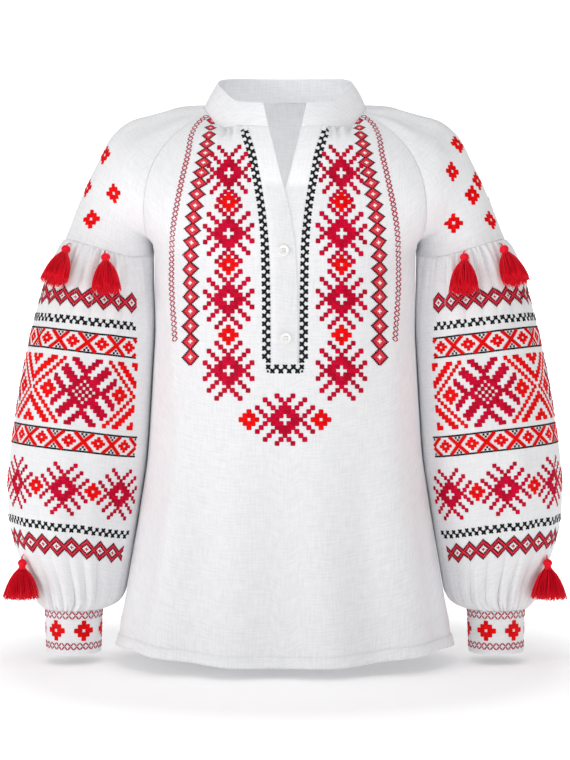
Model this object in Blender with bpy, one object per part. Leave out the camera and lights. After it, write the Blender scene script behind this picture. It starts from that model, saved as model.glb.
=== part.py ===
"""A folk blouse with raglan heads, full gathered sleeves, a stand collar and tassels.

Every panel of cloth is a closed wall. All panels are first laid out on one shared
skin of points, so that two panels that are sewn together share their seam points.
Each panel then gets its own wall, and draws back from its seams by half a gap.

The origin lies between the shoulders at the height where the collar meets them.
+X is the wearer's left, -Y is the front, +Z is up. Tables are in millimetres.
"""

import math
from collections import namedtuple

import bmesh
import bpy
from mathutils import Matrix, Vector

MM = 0.001
ON_SEAM = 0.01              # mm: a point this near a seam's curve lies on it

# ---- driving dimensions, mm ----------------------------------------------------
CLOTH = 1.2                 # wall of one layer
CUFF_CLOTH = 2.0            # two layers and a stiffener
COLLAR_CLOTH = 2.2
HEM_CLOTH = 2.4             # the turned hem
SEAM_DRAW = 0.17            # each panel draws back this far from a seam

COLLAR_BASE_HALF_WIDTH = 93.0
COLLAR_BASE_HALF_DEPTH = 80.0
COLLAR_TOP_HALF_WIDTH = 77.0
COLLAR_TOP_HALF_DEPTH = 70.0
COLLAR_CENTRE_Y = -5.0
COLLAR_TOP_GAP = 24.0       # half the opening between the collar's front ends, at the top
COLLAR_BASE_GAP = 18.2      # the same at the collar's seam
COLLAR_STEPS = 40           # columns round the collar's upper edge
# Heights of the collar's seam and upper edge over the shoulder line, as the terms of a curve
# in the cosine of the angle from the back centre: constant, first power and square.
COLLAR_BASE_CURVE = (0.0, 25.6, -8.0)
COLLAR_TOP_CURVE = (28.5, 25.5, -9.0)

FRONT_RAGLAN_ANGLE = 108.0  # where the raglan seams meet the collar, from the back centre
BACK_RAGLAN_ANGLE = 62.0

BODY_ROUNDNESS = 0.87       # exponent of the body's oval: 1 is an ellipse, less is boxier
HALF_FRONT_STEPS = 10       # columns from the placket to the side
BACK_STEPS = 22
SLEEVE_STEPS = 30           # columns round a plain ring of the sleeve
GATHERS = 20                # gathers round the sleeve, three points each
GATHER_STEPS = GATHERS * 3

PLACKET_BOTTOM = -291.5
PLACKET_LAP = 4.5           # the over band laps past the cut by this much
PLACKET_RISE = 1.6          # the over band lies this far above the under band
PLACKET_SHOULDER = 4.0      # width of the step from its seam up to that level
PLACKET_RISE_TOP = -60.0    # the rise starts at this height, and is whole this much lower
PLACKET_RISE_REACH = 45.0

BUTTON_HEIGHTS = (-174.0, -268.0)
BUTTON_GAP = 0.4
BUTTON_SIDES = 16
BUTTON_HOLE_RING = 1        # the holes lie between this ring of the table and the next

STRANDS = 24                # in each tassel
STRAND_SHARES = (0.0, 0.45, 1.0)    # rings of a strand, along its length
STRAND_ROOT_RADIUS = 0.55
STRAND_TIP_RADIUS = 1.35
STRAND_ROOT_DEPTH = 1.5     # the strands start this far up inside the head
SKIRT_ROOT = 4.9            # half width of the skirt where it leaves the head
SKIRT_FLATNESS = 0.56       # depth of the skirt's end as a share of its width
SKIRT_BELL = 0.75           # less than 1 makes the skirt widen early
SKIRT_ROUND = 0.05          # the outer strands' ends lie higher by this share
GOLDEN_TURN = math.radians(137.508)
HEAD_SIDES = 8

# ---- finishes -------------------------------------------------------------------
CLOTH_WHITE = (0.90, 0.90, 0.90)
CLOTH_ROUGHNESS = 0.85
BUTTON_WHITE = (0.87, 0.87, 0.85)
BUTTON_ROUGHNESS = 0.3
TASSEL_RED = (0.60, 0.004, 0.02)
TASSEL_ROUGHNESS = 0.8


# ---- tables, mm -----------------------------------------------------------------
# The rows of the yoke, from the collar to the armpit: the front and back raglan seams,
# the middles of the front and the back, and the crown line along the top of the shoulder.
Yoke = namedtuple("Yoke", "front_seam back_seam front_mid back_mid front_wrap back_wrap crown")
YOKE = (
    Yoke((110, -49, -27), (101, 55, -10), (-94, -50), (84, 2), 52, 52, (124, 4, 1)),
    Yoke((131, -60, -48), (121, 71, -35), (-103, -70), (90, -22), 55, 55, (152, 4, -8)),
    Yoke((146, -66, -74), (138, 79, -66), (-112, -94), (94, -52), 60, 62, (178, 3, -17)),
    Yoke((154, -65, -102), (149, 79, -98), (-119, -120), (96, -86), 66, 68, (198, 1, -34)),
    Yoke((157, -51, -131), (155, 63, -127), (-124, -147), (97, -118), 73, 74, (214, 0, -62)),
    Yoke((155, -22, -151), (154, 32, -149), (-126, -166), (97, -146), 82, 82, (226, -1, -86)),
)
ARMPIT = Vector((151, 5, -157))

# The rows of the body below the armpit: the side seam, and the middles of front and back.
Body = namedtuple("Body", "side_x side_y side_z front_y front_z back_y back_z")
BODY = (
    Body(151.0, 5, -157, -126, -180, 97, -168),
    Body(149.5, 4, -205, -127, -217, 97, -209),
    Body(148.5, 3, -248, -127, -258, 98, -252),
    Body(150.5, 2, -292, -127, PLACKET_BOTTOM, 99, -296),
    Body(153.5, 1, -345, -127, -352, 101, -349),
    Body(157.5, 0, -402, -127, -409, 103, -406),
    Body(165.5, -1, -456, -128, -463, 105, -460),
    Body(173.5, -2, -508, -129, -516, 107, -512),
    Body(182.0, -3, -558, -130, -567, 109, -562),
    Body(190.0, -4, -602, -131, -611, 111, -606),
    Body(190.2, -4, -603.5, -131, -612.5, 111, -607.5),
    Body(192.0, -4, -614, -131, -623, 111, -618),
)
HEM_ROWS = 2                # the last rows are the turned hem
SEAM_CALM = 0.08            # folds fade out over this share of the half turn, at a side seam

# Half the placket's width and the free edges of its two bands, by height.
Placket = namedtuple("Placket", "z seam over_edge under_edge")
PLACKET = (
    Placket(-33.6, 41.5, -18.2, 18.2),
    Placket(-62.0, 33.0, -11.4, 11.4),
    Placket(-97.0, 26.5, -3.2, 3.2),
    Placket(-111.0, 24.5, 0.6, -1.0),
    Placket(-130.0, 21.5, 5.0, -6.0),
    Placket(-162.0, 18.3, 10.2, -9.0),
    Placket(-206.0, 16.3, 13.2, -9.0),
    Placket(-300.0, 15.3, 13.4, -9.0),
    Placket(-640.0, 15.3, 13.4, -9.0),
)

# A button's section, from its middle out: radius, height of its face and of its back.
ButtonRing = namedtuple("ButtonRing", "radius front back")
BUTTON = (
    ButtonRing(0.0, 1.3, 0.0), ButtonRing(0.95, 1.3, 0.0), ButtonRing(2.4, 1.3, 0.0),
    ButtonRing(4.2, 1.4, 0.0), ButtonRing(4.9, 2.2, 0.0), ButtonRing(5.7, 2.2, 0.1),
    ButtonRing(6.1, 1.5, 0.6),
)

# Soft upright folds of the body: place across the half turn (-1 to 1), height that the fold
# starts from, depth at the hem (out is positive), and half width as a share of the half turn.
Fold = namedtuple("Fold", "place start depth spread")
FRONT_FOLDS = (
    Fold(-0.86, -260, 4.0, 0.07), Fold(-0.66, -330, -4.5, 0.08), Fold(-0.46, -300, 5.0, 0.10),
    Fold(-0.20, -360, -3.5, 0.10), Fold(0.06, -330, 3.5, 0.10), Fold(0.30, -350, -4.0, 0.09),
    Fold(0.50, -290, 5.0, 0.09), Fold(0.70, -340, -4.5, 0.08), Fold(0.87, -250, 4.0, 0.07),
)
BACK_FOLDS = (
    Fold(-0.84, -230, 4.5, 0.08), Fold(-0.62, -280, -4.5, 0.09), Fold(-0.38, -200, 5.5, 0.10),
    Fold(-0.12, -260, -4.0, 0.10), Fold(0.14, -190, 5.0, 0.10), Fold(0.40, -270, -4.5, 0.10),
    Fold(0.63, -220, 5.0, 0.09), Fold(0.85, -300, -3.5, 0.08),
)

# The gathers of the front's neck and the soft pulls of the sleeve heads, by row from the collar.
NECK_GATHER_DEPTH = (0.0, 1.7, 1.5, 0.8, 0.3)
NECK_GATHERS = 3
HEAD_FOLD_DEPTH = (0.0, 1.6, 2.6, 2.4, 1.6, 0.9, 0.4)
HEAD_FOLDS = 4

# The rings of the sleeve, from below the armpit to the cuff: the outer and inner ends of a ring,
# the middle's y, its depth as a share of its width, the depth of its gathers, and its kind.
Ring = namedtuple("Ring", "outer_x outer_z inner_x inner_z y flat wave steps")
HEAD_RINGS = (
    Ring(236, -109, 158.0, -167.0, 1.0, 1.02, 0.0, SLEEVE_STEPS),
    Ring(244, -131, 161.0, -174.0, -3.0, 0.99, 0.0, SLEEVE_STEPS),
    Ring(251, -152, 163.0, -179.5, -7.0, 0.96, 0.0, GATHER_STEPS),
)
PUFF_RINGS = (
    Ring(256.5, -161, 160.5, -187.5, -7.0, 0.96, 2.2, GATHER_STEPS),
    Ring(266, -180, 157.0, -204.0, -8.0, 0.95, 3.1, GATHER_STEPS),
    Ring(278, -215, 153.8, -236.0, -9.0, 0.94, 2.2, GATHER_STEPS),
    Ring(288, -254, 152.5, -272.0, -9.5, 0.93, 1.4, SLEEVE_STEPS),
    Ring(297, -297, 154.5, -312.0, -10.0, 0.93, 0.9, SLEEVE_STEPS),
    Ring(307, -355, 158.5, -367.0, -11.0, 0.92, 0.7, SLEEVE_STEPS),
    Ring(314, -414, 165.0, -423.0, -11.5, 0.92, 1.2, SLEEVE_STEPS),
    Ring(313, -470, 172.5, -476.0, -12.0, 0.92, 1.8, SLEEVE_STEPS),
    Ring(304, -508, 179.5, -511.5, -12.0, 0.93, 1.9, GATHER_STEPS),
    Ring(288, -543, 186.0, -545.0, -12.0, 0.95, 2.8, GATHER_STEPS),
    Ring(281, -563, 192.0, -564.5, -12.0, 0.96, 2.4, GATHER_STEPS),
    Ring(274, -573, 208.0, -573.5, -12.0, 1.00, 0.0, GATHER_STEPS),
)
CUFF_RINGS = (
    Ring(273.5, -578, 208.5, -578.5, -12.0, 1.0, 0.0, SLEEVE_STEPS),
    Ring(272.5, -600, 209.5, -600.5, -12.0, 1.0, 0.0, SLEEVE_STEPS),
    Ring(272.0, -622, 210.0, -622.5, -12.0, 1.0, 0.0, SLEEVE_STEPS),
)
UNDERARM_CALM = 0.70        # gathers lie flatter beside the body, by this share
UNDERARM_START = 0.35       # cosines of the turn between which that calm sets in
UNDERARM_REACH = 0.50
UNEVENNESS = 0.22           # how much the depths of the gathers differ
PLAIN_FOLDS = 10            # soft folds round a plain ring

# Tassels: the place on the sleeve where the loop leaves it and the place that the skirt's end
# hangs over, each as a turn round the sleeve (0 beside the body, 90 in front, 180 outside),
# a height and a distance out of the cloth; the turn that the skirt faces; its length and
# half width.
Tassel = namedtuple("Tassel", "name turn z off end_turn end_z end_off face length width")
TASSELS = (
    Tassel("front", 82, -169.3, 5.4, 77, -215.7, 19.5, 77, 37.5, 17.5),
    Tassel("side", 132, -160.0, 7.8, 122, -204.2, 21.0, 122, 37.5, 18.5),
    Tassel("cuff", 146, -510.4, 2.6, 141, -557.9, 28.0, 108, 33.0, 22.5),
)
HEAD_PROFILE = (            # distance below the top of the loop, and radius
    (0.0, 0.7), (3.8, 0.8), (5.2, 3.8), (7.8, 5.1), (10.8, 4.4), (12.8, 3.2), (17.2, 6.2),
)


# ---- small helpers --------------------------------------------------------------
def smooth(value):
    """0 below 0, 1 above 1, and a soft step between."""
    value = min(max(value, 0.0), 1.0)
    return value * value * (3.0 - 2.0 * value)


def table_value(rows, z, column):
    """A column of the placket table at a height, straight between its rows."""
    for upper, lower in zip(rows, rows[1:]):
        if z >= lower.z:
            share = min(max((upper.z - z) / (upper.z - lower.z), 0.0), 1.0)
            return getattr(upper, column) * (1.0 - share) + getattr(lower, column) * share
    return getattr(rows[-1], column)


def mirrored(row):
    """The same row on the wearer's other side, still running counterclockwise from above."""
    return [Vector((-point.x, point.y, point.z)) for point in reversed(row)]


def even(count):
    """count + 1 even parameters from 0 to 1."""
    return [step / count for step in range(count + 1)]


# ---- the shared skin ------------------------------------------------------------
class Skin:
    """Outer points shared by all the panels, and each panel's triangles."""

    def __init__(self):
        self.points = []
        self.index = {}
        self.panels = {}
        self.wall = {}
        self.drawn = set()

    def add(self, point):
        key = (round(point.x, 4), round(point.y, 4), round(point.z, 4))
        if key not in self.index:
            self.index[key] = len(self.points)
            self.points.append(Vector(point))
        return self.index[key]

    def strip(self, panel, upper, lower, upper_at=None, lower_at=None):
        """Triangles between two rows of points, which may differ in number."""
        upper_at = upper_at or even(len(upper) - 1)
        lower_at = lower_at or even(len(lower) - 1)
        top = [self.add(point) for point in upper]
        low = [self.add(point) for point in lower]
        faces = self.panels.setdefault(panel, [])
        i = j = 0
        while i < len(top) - 1 or j < len(low) - 1:
            step_low = i == len(top) - 1 or (
                j < len(low) - 1 and lower_at[j + 1] <= upper_at[i + 1] + 1e-9
            )
            if step_low:
                face = (top[i], low[j], low[j + 1])
                j += 1
            else:
                face = (top[i], low[j], top[i + 1])
                i += 1
            if len(set(face)) == 3:
                faces.append(face)

    def draw_back(self, start, end):
        """Marks a free edge that draws back as a seam does."""
        a, b = self.add(start), self.add(end)
        self.drawn |= {(a, b), (b, a)}

    def normals(self):
        """Outward directions at the points, which panels at a seam share."""
        total = [Vector() for _ in self.points]
        for faces in self.panels.values():
            for face in faces:
                for turn in range(3):
                    corner, onward, back = (face[(turn + k) % 3] for k in range(3))
                    first = self.points[onward] - self.points[corner]
                    second = self.points[back] - self.points[corner]
                    total[corner] += first.cross(second).normalized() * first.angle(second)
        return [direction.normalized() for direction in total]


def border_of(faces):
    """The directed border edges of a panel: start to end, with the panel on the left."""
    edges = {(f[k], f[(k + 1) % 3]) for f in faces for k in range(3)}
    return {(a, b) for a, b in edges if (b, a) not in edges}


def seam_shift(normal, before, after, draw_before, draw_after):
    """How far a border point moves into its panel so that each of its two edges draws back."""
    into_before = normal.cross(before).normalized()
    into_after = normal.cross(after).normalized()
    together = into_before.dot(into_after)
    if together > 0.98:
        return (into_before + into_after).normalized() * (draw_before + draw_after) * 0.5
    together = max(together, -0.8)
    scale = 1.0 - together * together
    first = (draw_before - draw_after * together) / scale
    second = (draw_after - draw_before * together) / scale
    return into_before * first + into_after * second


def panel_mesh(skin, normals, panel, cloth, seams):
    """A closed wall on a panel's triangles, drawn back from its seams."""
    faces = skin.panels[panel]
    border = border_of(faces)
    onward = {a: b for a, b in border}
    backward = {b: a for a, b in border}
    corners = sorted({corner for face in faces for corner in face})
    mesh = bmesh.new()
    outer, inner = {}, {}
    for corner in corners:
        point = skin.points[corner].copy()
        if corner in onward:
            ahead, behind = onward[corner], backward[corner]
            point += seam_shift(
                normals[corner],
                skin.points[corner] - skin.points[behind],
                skin.points[ahead] - skin.points[corner],
                SEAM_DRAW if (corner, behind) in seams else 0.0,
                SEAM_DRAW if (ahead, corner) in seams else 0.0,
            )
        wall = skin.wall.get(corner, cloth)
        outer[corner] = mesh.verts.new(point * MM)
        inner[corner] = mesh.verts.new((point - normals[corner] * wall) * MM)
    for a, b, c in faces:
        mesh.faces.new((outer[a], outer[b], outer[c]))
        mesh.faces.new((inner[c], inner[b], inner[a]))
    for a, b in sorted(border):
        if a < b:
            mesh.faces.new((outer[b], outer[a], inner[b]))
            mesh.faces.new((outer[a], inner[a], inner[b]))
        else:
            mesh.faces.new((outer[b], outer[a], inner[a]))
            mesh.faces.new((outer[b], inner[a], inner[b]))
    return mesh


# ---- rows of the body -----------------------------------------------------------
def collar_point(half_width, half_depth, curve, angle):
    """A point of an oval round the neck; the angle runs from the back centre, over +X."""
    lean = math.cos(angle)
    return Vector((
        half_width * math.sin(angle),
        COLLAR_CENTRE_Y + half_depth * lean,
        curve[0] + curve[1] * lean + curve[2] * lean * lean,
    ))


def collar_base(angle):
    """A point of the collar's seam."""
    return collar_point(COLLAR_BASE_HALF_WIDTH, COLLAR_BASE_HALF_DEPTH, COLLAR_BASE_CURVE, angle)


def collar_top(angle):
    """A point of the collar's upper edge."""
    return collar_point(COLLAR_TOP_HALF_WIDTH, COLLAR_TOP_HALF_DEPTH, COLLAR_TOP_CURVE, angle)


def collar_angle(point):
    """The angle at which a point lies on the collar's seam."""
    return math.atan2(point.x / COLLAR_BASE_HALF_WIDTH,
                      (point.y - COLLAR_CENTRE_Y) / COLLAR_BASE_HALF_DEPTH)


def front_angle(half_width, x):
    """The angle, past the side, at which an oval of this half width has this x."""
    return math.pi - math.asin(x / half_width)


def oval(value):
    """A sine or cosine, eased so that the body's section is a little boxier than an ellipse."""
    return math.copysign(abs(value) ** BODY_ROUNDNESS, value)


def body_point(seam, middle_y, middle_z, wrap, turn):
    """A point of a body row, turn radians from its middle; the seam lies at +wrap."""
    edge = oval(math.cos(wrap)) if wrap < math.pi / 2 else 0.0
    rise = (1.0 - oval(math.cos(turn))) / (1.0 - edge)
    return Vector((
        seam.x * oval(math.sin(turn)) / oval(math.sin(wrap)),
        middle_y + (seam.y - middle_y) * rise,
        middle_z + (seam.z - middle_z) * rise,
    ))


def body_turn(seam, wrap, x):
    """The turn at which a body row has this x."""
    return math.asin((x / seam.x * oval(math.sin(wrap))) ** (1.0 / BODY_ROUNDNESS))


def fold_depth(folds, place, z, hem_z):
    """How far the folds push a point out or in."""
    depth = 0.0
    for fold in folds:
        grown = smooth((fold.start - z) / (fold.start - hem_z))
        depth += fold.depth * grown * math.exp(-(((place - fold.place) / fold.spread) ** 2))
    return depth * smooth((1.0 - abs(place)) / SEAM_CALM)


def yoke_and_body_rows():
    """Seam, middle and wrap of every row of the front and of the back, from row 1 down."""
    front, back = [], []
    for row in YOKE:
        front.append((Vector(row.front_seam), *row.front_mid, math.radians(row.front_wrap)))
        back.append((Vector(row.back_seam), *row.back_mid, math.radians(row.back_wrap)))
    for row in BODY:
        side = Vector((row.side_x, row.side_y, row.side_z))
        front.append((side, row.front_y, row.front_z, math.pi / 2))
        back.append((side, row.back_y, row.back_z, math.pi / 2))
    return front, back


def front_half(number, seam, middle_y, middle_z, wrap):
    """A front row on the +X side, from the placket's seam to the side seam."""
    start = body_turn(seam, wrap, table_value(PLACKET, middle_z, "seam"))
    row = []
    for step in range(HALF_FRONT_STEPS + 1):
        share = step / HALF_FRONT_STEPS
        turn = start + (wrap - start) * share
        point = body_point(seam, middle_y, middle_z, wrap, turn)
        out = Vector((math.sin(turn), -math.cos(turn), 0.0))
        if number < len(NECK_GATHER_DEPTH):
            swing = math.sin(2.0 * math.pi * NECK_GATHERS * share) * (1.0 - share)
            point += out * NECK_GATHER_DEPTH[number] * swing
        row.append((turn / (math.pi / 2), out, point))
    return row


def front_rows():
    """For each row: its left half, its right half, and the points between them."""
    ends = math.radians(FRONT_RAGLAN_ANGLE)
    placket = front_angle(COLLAR_BASE_HALF_WIDTH, PLACKET[0].seam)
    top = [collar_base(placket + (ends - placket) * share) for share in even(HALF_FRONT_STEPS)]
    rows = [(mirrored(top), top, [])]
    specs, _ = yoke_and_body_rows()
    hem_z = BODY[-1].front_z
    for number, (seam, middle_y, middle_z, wrap) in enumerate(specs, start=1):
        half = front_half(number, seam, middle_y, middle_z, wrap)
        right, left = [], []
        for place, out, point in half:
            right.append(point + out * fold_depth(FRONT_FOLDS, place, point.z, hem_z))
            flipped = Vector((-point.x, point.y, point.z))
            out_left = Vector((-out.x, out.y, 0.0))
            left.append(flipped + out_left * fold_depth(FRONT_FOLDS, -place, point.z, hem_z))
        left.reverse()
        right[-1] = seam.copy()
        left[0] = Vector((-seam.x, seam.y, seam.z))
        between = []
        for x in under_band_places(right[0].x, table_value(PLACKET, middle_z, "under_edge"))[:-1]:
            turn = math.copysign(body_turn(seam, wrap, abs(x)), x)
            point = band_point((seam, middle_y, middle_z, wrap), x)
            depth = fold_depth(FRONT_FOLDS, turn / (math.pi / 2), point.z, hem_z)
            between.append(point + Vector((0.0, -depth, 0.0)))
        rows.append((left, right, between))
    return rows


def front_panel(skin):
    """The front, with its cut for the placket; returns its rows and the row of the cut's end."""
    rows = front_rows()
    cut = len(YOKE) + 1 + next(k for k, row in enumerate(BODY) if row.front_z == PLACKET_BOTTOM)
    for number, (upper, lower) in enumerate(zip(rows, rows[1:])):
        if number < cut:
            skin.strip("front_panel", upper[0], lower[0])
            skin.strip("front_panel", upper[1], lower[1])
        else:
            skin.strip("front_panel", upper[0] + upper[2] + upper[1], lower[0] + lower[2] + lower[1])
    for left, right, between in rows[-HEM_ROWS:]:
        for point in left + between + right:
            skin.wall[skin.add(point)] = HEM_CLOTH
    return rows, cut


def back_panel(skin):
    """The back, in one piece from side seam to side seam."""
    _, specs = yoke_and_body_rows()
    start = math.radians(BACK_RAGLAN_ANGLE)
    rows = [[collar_base(start - 2.0 * start * share) for share in even(BACK_STEPS)]]
    hem_z = BODY[-1].back_z
    for seam, middle_y, middle_z, wrap in specs:
        row = []
        for share in even(BACK_STEPS):
            turn = wrap * (1.0 - 2.0 * share)
            point = body_point(seam, middle_y, middle_z, wrap, abs(turn))
            point.x = math.copysign(point.x, turn)
            out = Vector((math.sin(turn), math.cos(turn), 0.0))
            depth = fold_depth(BACK_FOLDS, turn / (math.pi / 2), point.z, hem_z)
            row.append(point + out * depth)
        row[0] = seam.copy()
        row[-1] = Vector((-seam.x, seam.y, seam.z))
        rows.append(row)
    for upper, lower in zip(rows, rows[1:]):
        skin.strip("back_panel", upper, lower)
    for row in rows[-HEM_ROWS:]:
        for point in row:
            skin.wall[skin.add(point)] = HEM_CLOTH


# ---- the placket ----------------------------------------------------------------
def placket_bands(skin, rows, cut):
    """The two bands in the front's cut, which share its seam points."""
    specs, _ = yoke_and_body_rows()
    over_rows, under_rows = [], []
    for number in range(cut + 1):
        left, right, _ = rows[number]
        at_x = specs[number - 1] if number else None
        middle_z = at_x[2] if number else PLACKET[0].z
        over_edge = table_value(PLACKET, middle_z, "over_edge")
        under_edge = table_value(PLACKET, middle_z, "under_edge")
        over_rows.append(over_row(left[-1], at_x, over_edge, middle_z))
        under_rows.append(under_row(right[0], at_x, under_edge))
    for upper, lower in zip(over_rows, over_rows[1:]):
        skin.strip("placket_over", upper, lower)
    for upper, lower in zip(under_rows, under_rows[1:]):
        skin.strip("placket_under", upper, lower)
    bottom = over_rows[-1]
    lap = [point - Vector((0, 0, PLACKET_LAP)) for point in bottom[1:]]
    skin.strip("placket_over", bottom[1:], lap)
    skin.draw_back(bottom[0], bottom[1])
    skin.draw_back(bottom[0], rows[cut][2][0])
    return over_rows


def band_point(at_x, x):
    """The point of a front row at this x; the first row lies on the collar's seam."""
    if at_x is None:
        point = collar_base(front_angle(COLLAR_BASE_HALF_WIDTH, abs(x)))
        return Vector((x, point.y, point.z))
    seam, middle_y, middle_z, wrap = at_x
    point = body_point(seam, middle_y, middle_z, wrap, body_turn(seam, wrap, abs(x)))
    return Vector((x, point.y, point.z))


def over_row(seam_point, at_x, edge, z):
    """A row of the over band: level with the front at its seam, raised beyond it."""
    rise = PLACKET_RISE * smooth((PLACKET_RISE_TOP - z) / PLACKET_RISE_REACH)
    step = seam_point.x + PLACKET_SHOULDER
    row = [seam_point]
    for x in (step, (step + edge) / 2.0, edge):
        row.append(band_point(at_x, x) + Vector((0.0, -rise, 0.0)))
    return row


def under_band_places(seam_x, edge):
    """The x of the under band's columns, from its free edge to its seam."""
    return [edge, (edge + seam_x) / 2.0, seam_x]


def under_row(seam_point, at_x, edge):
    """A row of the under band, from its free edge to its seam."""
    places = under_band_places(seam_point.x, edge)
    return [band_point(at_x, x) for x in places[:-1]] + [seam_point]


# ---- the collar -----------------------------------------------------------------
def collar(skin):
    """The stand collar, on the seam points of bands, front, sleeve heads and back."""
    base_gap = front_angle(COLLAR_BASE_HALF_WIDTH, COLLAR_BASE_GAP)
    top_gap = front_angle(COLLAR_TOP_HALF_WIDTH, COLLAR_TOP_GAP)
    corners = {corner for faces in skin.panels.values() for face in faces for corner in face}
    on_seam = []
    for corner in corners:
        point = skin.points[corner]
        angle = collar_angle(point)
        if (collar_base(angle) - point).length < ON_SEAM:
            on_seam.append((-angle, point))
    on_seam.sort(key=lambda item: item[0])
    lower = [point for _, point in on_seam]
    lower_at = [(angle + base_gap) / (2.0 * base_gap) for angle, _ in on_seam]
    upper_at = even(COLLAR_STEPS)
    upper = [collar_top(top_gap - 2.0 * top_gap * share) for share in upper_at]
    skin.strip("collar", upper, lower, upper_at, lower_at)


# ---- the sleeves ----------------------------------------------------------------
def head_row(number):
    """An open row of the sleeve head on the +X side, from the front seam over to the back."""
    steps = SLEEVE_STEPS // 2
    if number == 0:
        start, end = math.radians(FRONT_RAGLAN_ANGLE), math.radians(BACK_RAGLAN_ANGLE)
        return [collar_base(start + (end - start) * share) for share in even(steps)], even(steps)
    spec = YOKE[number - 1]
    front, back, crown = Vector(spec.front_seam), Vector(spec.back_seam), Vector(spec.crown)
    middle = (front + back) / 2.0
    half = (front - back) / 2.0
    wrap = 2.0 * math.atan2((crown - middle).length, half.length)
    row, places = [], []
    for share in even(steps):
        turn = wrap * (2.0 * share - 1.0)
        rise = (math.cos(turn) - math.cos(wrap)) / (1.0 - math.cos(wrap))
        point = middle + (crown - middle) * rise - half * math.sin(turn) / math.sin(wrap)
        out = ((crown - middle).normalized() * math.cos(turn)
               - half.normalized() * math.sin(turn))
        swing = math.cos(2.0 * math.pi * HEAD_FOLDS * share) * math.sin(math.pi * share)
        point += out * HEAD_FOLD_DEPTH[number] * swing
        row.append(point)
        places.append((math.pi + turn) / (2.0 * math.pi))
    row[0] = front.copy()
    row[-1] = back.copy()
    return row, places


def ring_row(ring):
    """A closed ring on the +X side, from its inner end over the front; its ends coincide."""
    outer = Vector((ring.outer_x, ring.y, ring.outer_z))
    inner = Vector((ring.inner_x, ring.y, ring.inner_z))
    centre = (outer + inner) / 2.0
    half = (outer - inner) / 2.0
    depth = half.length * ring.flat
    row = []
    for step in range(ring.steps):
        turn = 2.0 * math.pi * step / ring.steps
        out = -half.normalized() * math.cos(turn) + Vector((0.0, -math.sin(turn), 0.0))
        point = centre - half * math.cos(turn) + Vector((0.0, -depth * math.sin(turn), 0.0))
        row.append(point + out * ring_wave(ring, step, turn))
    row.append(row[0].copy())
    return row


def ring_wave(ring, step, turn):
    """The depth of the gathers or soft folds of a ring at one of its points."""
    if not ring.wave:
        return 0.0
    folds = GATHERS if ring.steps == GATHER_STEPS else PLAIN_FOLDS
    number = step * folds / ring.steps
    phase = 2.3 * round(number) + 0.04 * ring.outer_z
    uneven = 1.0 - UNEVENNESS + UNEVENNESS * math.sin(phase)
    beside_body = smooth((math.cos(turn) - UNDERARM_START) / UNDERARM_REACH)
    swing = math.cos(2.0 * math.pi * number) - 0.5 * beside_body
    return ring.wave * uneven * swing * (1.0 - UNDERARM_CALM * beside_body)


def sleeve(skin, side, name):
    """One sleeve: head, gathered lower sleeve and cuff."""
    def placed(row):
        return row if side > 0 else mirrored(row)

    def places(at):
        return at if side > 0 else [1.0 - value for value in reversed(at)]

    rows = [head_row(number) for number in range(len(YOKE) + 1)]
    head = "sleeve_upper_" + name
    for (upper, _), (lower, _) in zip(rows, rows[1:]):
        skin.strip(head, placed(upper), placed(lower))
    last, last_at = rows[-1]
    last = [ARMPIT.copy()] + last + [ARMPIT.copy()]
    last_at = [0.0] + last_at + [1.0]
    rings = [ring_row(ring) for ring in HEAD_RINGS]
    skin.strip(head, placed(last), placed(rings[0]), places(last_at))
    for upper, lower in zip(rings, rings[1:]):
        skin.strip(head, placed(upper), placed(lower))
    puff = [rings[-1]] + [ring_row(ring) for ring in PUFF_RINGS]
    for upper, lower in zip(puff, puff[1:]):
        skin.strip("sleeve_lower_" + name, placed(upper), placed(lower))
    cuff = [puff[-1]] + [ring_row(ring) for ring in CUFF_RINGS]
    for upper, lower in zip(cuff, cuff[1:]):
        skin.strip("cuff_" + name, placed(upper), placed(lower))


# ---- objects and materials ------------------------------------------------------
def finish(name, colour, roughness):
    """An object's own plain material."""
    material = bpy.data.materials.new(name)
    material.use_nodes = True
    shader = material.node_tree.nodes["Principled BSDF"]
    shader.inputs["Base Color"].default_value = (*colour, 1.0)
    shader.inputs["Roughness"].default_value = roughness
    shader.inputs["Metallic"].default_value = 0.0
    return material


def add_object(name, mesh, colour, roughness):
    """A scene object from a bmesh, which is freed."""
    data = bpy.data.meshes.new(name)
    mesh.to_mesh(data)
    mesh.free()
    thing = bpy.data.objects.new(name, data)
    data.materials.append(finish(name + "_finish", colour, roughness))
    bpy.context.scene.collection.objects.link(thing)
    return thing


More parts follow.
